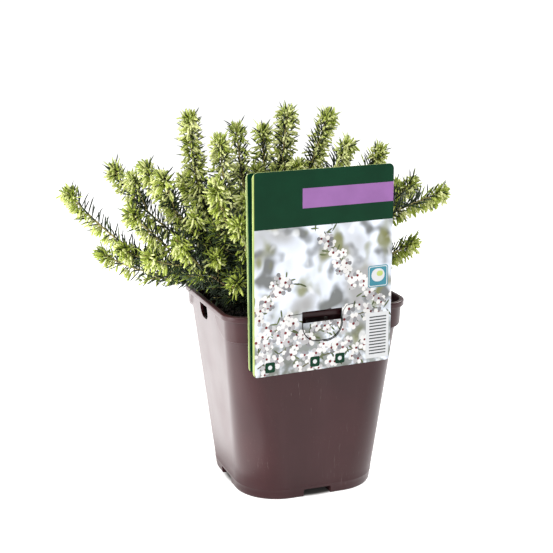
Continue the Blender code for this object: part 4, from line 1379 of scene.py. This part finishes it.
def inlay(cut, drop, keep, prints, place, extra=()):
    """A sheet with its print let into its face, and the name of each face's ink. The sheet is cut
    out along cut, without what is in drop but not in keep. Outlines are in mm on the sheet, and
    place(x, z) gives a spot's place in metres."""
    loops = [anticlockwise(loop) for loop in [cut, drop, keep] + [outline for _, outline in prints]]
    spots, faces = [], []
    for loop in loops:
        faces.append(list(range(len(spots), len(spots) + len(loop))))
        spots += [Vector(point) for point in loop]
    spots += [Vector(point) for point in extra]
    flat, _, cells, _, _, origin = geometry.delaunay_2d_cdt(spots, [], faces, 0, 1e-4)
    tiles, tones = [], []
    for cell, sources in zip(cells, origin):
        inside = set(sources)
        if 0 not in inside or (1 in inside and 2 not in inside):
            continue
        top = max(inside - {1, 2})
        tiles.append(list(cell))
        tones.append(prints[top - 3][0] if top >= 3 else "ground")
    used = sorted({i for tile in tiles for i in tile})
    order = {old: new for new, old in enumerate(used)}
    front = [place(*flat[i]) for i in used]
    behind = [(x, y + CARD_THICK, z) for x, y, z in front]
    count = len(used)
    tiles = [[order[i] for i in tile] for tile in tiles]
    edges = dict.fromkeys(pair for tile in tiles for pair in zip(tile, tile[1:] + tile[:1]))
    rim = [(a, b) for a, b in edges if (b, a) not in edges]
    faces = tiles + [[i + count for i in tile[::-1]] for tile in tiles]
    faces += [[b, a, a + count, b + count] for a, b in rim]
    left, right = min(x for x, _ in cut), max(x for x, _ in cut)
    low, high = min(z for _, z in cut), max(z for _, z in cut)
    near = [min(x - left, right - x, z - low, high - z) for x, z in (flat[i] for i in used)]
    tones = tones + ["back"] * len(tiles)
    # Cut edges inside the sheet take the dark slit ink: painted shadow in the die-cut gaps
    tones += ["edge" if near[a] < EDGE_BAND else "slit_shadow" for a, _ in rim]
    mesh = bpy.data.meshes.new("sheet")
    mesh.from_pydata(front + behind, [], faces)
    return mesh, tones


def dress(mesh, tones):
    """Gives each face its ink, and turns the faces outward."""
    names = list(inks)
    for made in inks.values():
        mesh.materials.append(made)
    mesh.polygons.foreach_set("material_index", [names.index(tone) for tone in tones])
    work = bmesh.new()
    work.from_mesh(mesh)
    bmesh.ops.recalc_face_normals(work, faces=work.faces)
    work.to_mesh(mesh)
    work.free()


def uneven_gloss(place, shader):
    (0.34 + place.grain(240, 2) * 0.12).into(shader, "Roughness")


def ink(name, colour, drift=0.10, gloss=0.18):
    """Flat ink on a plastic sheet: the colour drifts a little and the gloss is uneven."""
    made, shader, place = new_finish(name, Specular_IOR_Level=gloss)
    dark = tuple(c * (1 - drift) for c in colour)
    light = tuple(min(1.0, c * (1 + drift)) for c in colour)
    place.grain(60, 3).rise(0.3, 0.7).tint(dark, light).into(shader, "Base Color")
    uneven_gloss(place, shader)
    return made


SKY = ((0.33, 0.33, 0.33), (0.72, 0.77, 0.87))
GREY_BLOT = (0.095, 0.098, 0.088)
OLIVE_BLOT = (0.175, 0.180, 0.055)
LOW_BLOT = (0.120, 0.128, 0.095)
BRIGHT_BLOT = (0.74, 0.75, 0.76)


def soft_picture():
    """Out-of-focus ground of the printed picture: pale grey sky with olive and grey blots."""
    made, shader, place = new_finish("card_picture", Specular_IOR_Level=0.18)
    sheet = place.stretch(1, 0, 1)
    colour = sheet.grain(30, 1.5).rise(0.34, 0.56).tint(*SKY)
    grey = sheet.stretch(1.3, 1, 1.3).grain(47, 1.5).rise(0.50, 0.66)
    colour = (grey * 0.90).tint(colour, GREY_BLOT)
    olive = sheet.stretch(1, 1, 0.8).grain(61, 1.5).rise(0.54, 0.68)
    colour = (olive * 0.85).tint(colour, OLIVE_BLOT)
    low = place.axis("Z").rise(0.146, 0.108) * sheet.grain(130, 2.0).rise(0.38, 0.56)
    colour = (low * 0.80).tint(colour, LOW_BLOT)
    bright = sheet.stretch(1.1, 1, 0.9).grain(85, 1.0).rise(0.60, 0.70)
    (bright * 0.6).tint(colour, BRIGHT_BLOT).into(shader, "Base Color")
    uneven_gloss(place, shader)
    return made


def front_place(x, z):
    """From mm on the front leaf to its place, turned about the fold."""
    reach = CARD_RIGHT - x * MM
    return (CARD_RIGHT - reach * math.cos(LEAF_TURN),
            FRONT_FOLD_Y - reach * math.sin(LEAF_TURN) - PRINT_PROUD, z * MM)


def back_place(x, z):
    """From mm on the back leaf to its place; it leans away above the pot's rim."""
    share = (48 - x) / 100
    high = max(0.0, (z - 135) / 95)
    return (x * MM, BACK_Y + BACK_LEAN * share * high - PRINT_PROUD, z * MM)


inks = {
    "ground": soft_picture(),
    "green": ink("card_green", (0.0020, 0.031, 0.0130), gloss=0.10),
    "mauve": ink("card_mauve", (0.262, 0.117, 0.318), 0.07),
    "margin": ink("card_margin", (0.42, 0.50, 0.15)),
    "white": ink("card_white", (0.57, 0.58, 0.59), 0.02),
    "teal": ink("card_teal", (0.045, 0.200, 0.260)),
    "stalk": ink("print_stalk", (0.10, 0.09, 0.045), 0.3),
    "leaflet": ink("print_leaflet", (0.085, 0.105, 0.045), 0.4),
    "petal_white": ink("print_petal_white", (0.66, 0.65, 0.64), 0.10),
    "petal_grey": ink("print_petal_grey", (0.40, 0.39, 0.40), 0.18),
    "petal_shade": ink("print_petal_shade", (0.21, 0.21, 0.22), 0.30),
    "eye": ink("print_eye", (0.125, 0.014, 0.018), 0.35),
    "rule": ink("card_rule", (0.055, 0.058, 0.060)),
    # Near-black ink of the die-cut lines: painted shadow in the gaps of the cuts
    "slit_shadow": ink("card_slit_shadow", (0.02, 0.02, 0.02)),
    "back": ink("card_inside", (0.010, 0.050, 0.026)),
    "edge": ink("card_edge", (0.48, 0.60, 0.24)),
}
RUNGS, FIRST_RUNG, RUNG_PITCH, RUNG_THICK = 13, 100.2, 2.1, 0.9
SIGN_LEFTS = (-43.6, -11.5, 6.8)

# Header, band, sticker, and the square with its frame line, disc and dot, in mm; then the pale
# margin by the open edge and dark lines along the tongue's cuts: painted shadow in their gaps
front_print = printed_branches() + [
    ("green", box_outline(-60, 60, 191.5, 240)),
    ("mauve", box_outline(-17.5, 60, 203.2, 216.0)),
    ("white", box_outline(29.4, 46.6, 97.5, 129.0)),
    ("teal", box_outline(30.3, 45.3, 146.2, 161.0, 1.8)),
    ("white", box_outline(30.9, 44.7, 146.8, 160.4, 1.4)),
    ("teal", box_outline(31.4, 44.2, 147.3, 159.9, 1.2)),
    ("white", box_outline(32.9, 42.7, 150.0, 158.8, 4.3)),
    ("margin", box_outline(36.8, 41.4, 153.6, 157.2, 1.7)),
    ("margin", box_outline(-60, -50.9, 90, 240)),
    ("slit_shadow", line_outline([(-16.2, 134.2), (-28.0, 133.9)], 0.45)),
    ("slit_shadow", line_outline([(11.6, 128.0), (12.4, 133.0), (14.8, 136.2), (21.5, 137.4)], 0.45)),
    ("slit_shadow", line_outline(arc((0.0, 125.8), 11.9, -100, 14, 14), 0.8)),
]
for rung in range(RUNGS):
    foot, head = FIRST_RUNG + RUNG_PITCH * rung, FIRST_RUNG + RUNG_THICK + RUNG_PITCH * rung
    front_print.append(("rule", box_outline(32.0, 44.6, foot, head)))
for sign_left in SIGN_LEFTS:
    front_print.append(("green", box_outline(sign_left, sign_left + 7.0, 97.2, 104.2, 1.2)))
    front_print.append(("white", arc((sign_left + 3.5, 100.7), 1.5, 0, 330, 11)))

front_cut = box_outline(-52, 48, 95, 228, 3.5)
front_mesh, front_tones = inlay(front_cut, window_outline(0, 135.2), window_outline(-0.7, 127.6),
                                front_print, front_place)
dress(front_mesh, front_tones)
add_piece("card_front", front_mesh, None, "printed_card", "card_front_leaf", smooth=False)

back_cut = box_outline(-51.8, 47.8, 96.2, 226.0, 3.5)
keep_none = box_outline(-90, -80, 0, 10)
back_print = [("green", box_outline(-70, 70, 80, 240)), ("edge", box_outline(-70, -50.9, 80, 240))]
grid = [(x, z) for x in range(-50, 48, 7) for z in range(98, 226, 7)]
back_mesh, back_tones = inlay(back_cut, window_outline(1.3, 137.2), keep_none, back_print,
                              back_place, grid)
dress(back_mesh, back_tones)
add_piece("card_back", back_mesh, None, "printed_card", "card_back_leaf", smooth=False)

TONGUE_X = -0.0030
TONGUE_HALF = 0.0065


def tongue_mesh():
    """Strip bent over the rim, from the window's upper edge to the back of the tongue's head."""
    front = front_place(-3, 0)[1] + PRINT_PROUD
    inner = -BODY_HALF[1] + WALL
    over = POT_TALL + 0.0009
    slot_middle = POT_TALL - 0.0050 - 0.00575
    route = [
        (front, 0.1356), (front + 0.0016, 0.1351),
        (-RIM_HALF[1] - 0.0010, over + 0.0006), (-RIM_HALF[1] + 0.0010, over + 0.0003),
        (inner - 0.0004, over + 0.0003), (inner + 0.0014, over - 0.0008),
        (inner + 0.0018, over - 0.0030), (inner + 0.0018, slot_middle + 0.0035),
        (inner + 0.0004, slot_middle + 0.0008), (-BODY_HALF[1] - 0.0006, slot_middle),
        (front + 0.0008, slot_middle - 0.0006), (front + 0.0002, slot_middle - 0.0016),
    ]
    points = [(TONGUE_X + side * TONGUE_HALF, y, z) for y, z in route for side in (-1, 1)]
    faces = [(2 * i, 2 * i + 1, 2 * i + 3, 2 * i + 2) for i in range(len(route) - 1)]
    mesh = bpy.data.meshes.new("card_tongue")
    mesh.from_pydata(points, [], faces)
    return mesh


# The strip is inked dark maroon: painted shade, as it lies in the rim's shadow
shaded_strip_ink = ink("card_strip_shaded", (0.0260, 0.0130, 0.0130))
tongue = add_piece("card_tongue", tongue_mesh(), shaded_strip_ink, "printed_card")
sheet_step = tongue.modifiers.new("sheet", "SOLIDIFY")
sheet_step.thickness = CARD_THICK
sheet_step.offset = 0.0
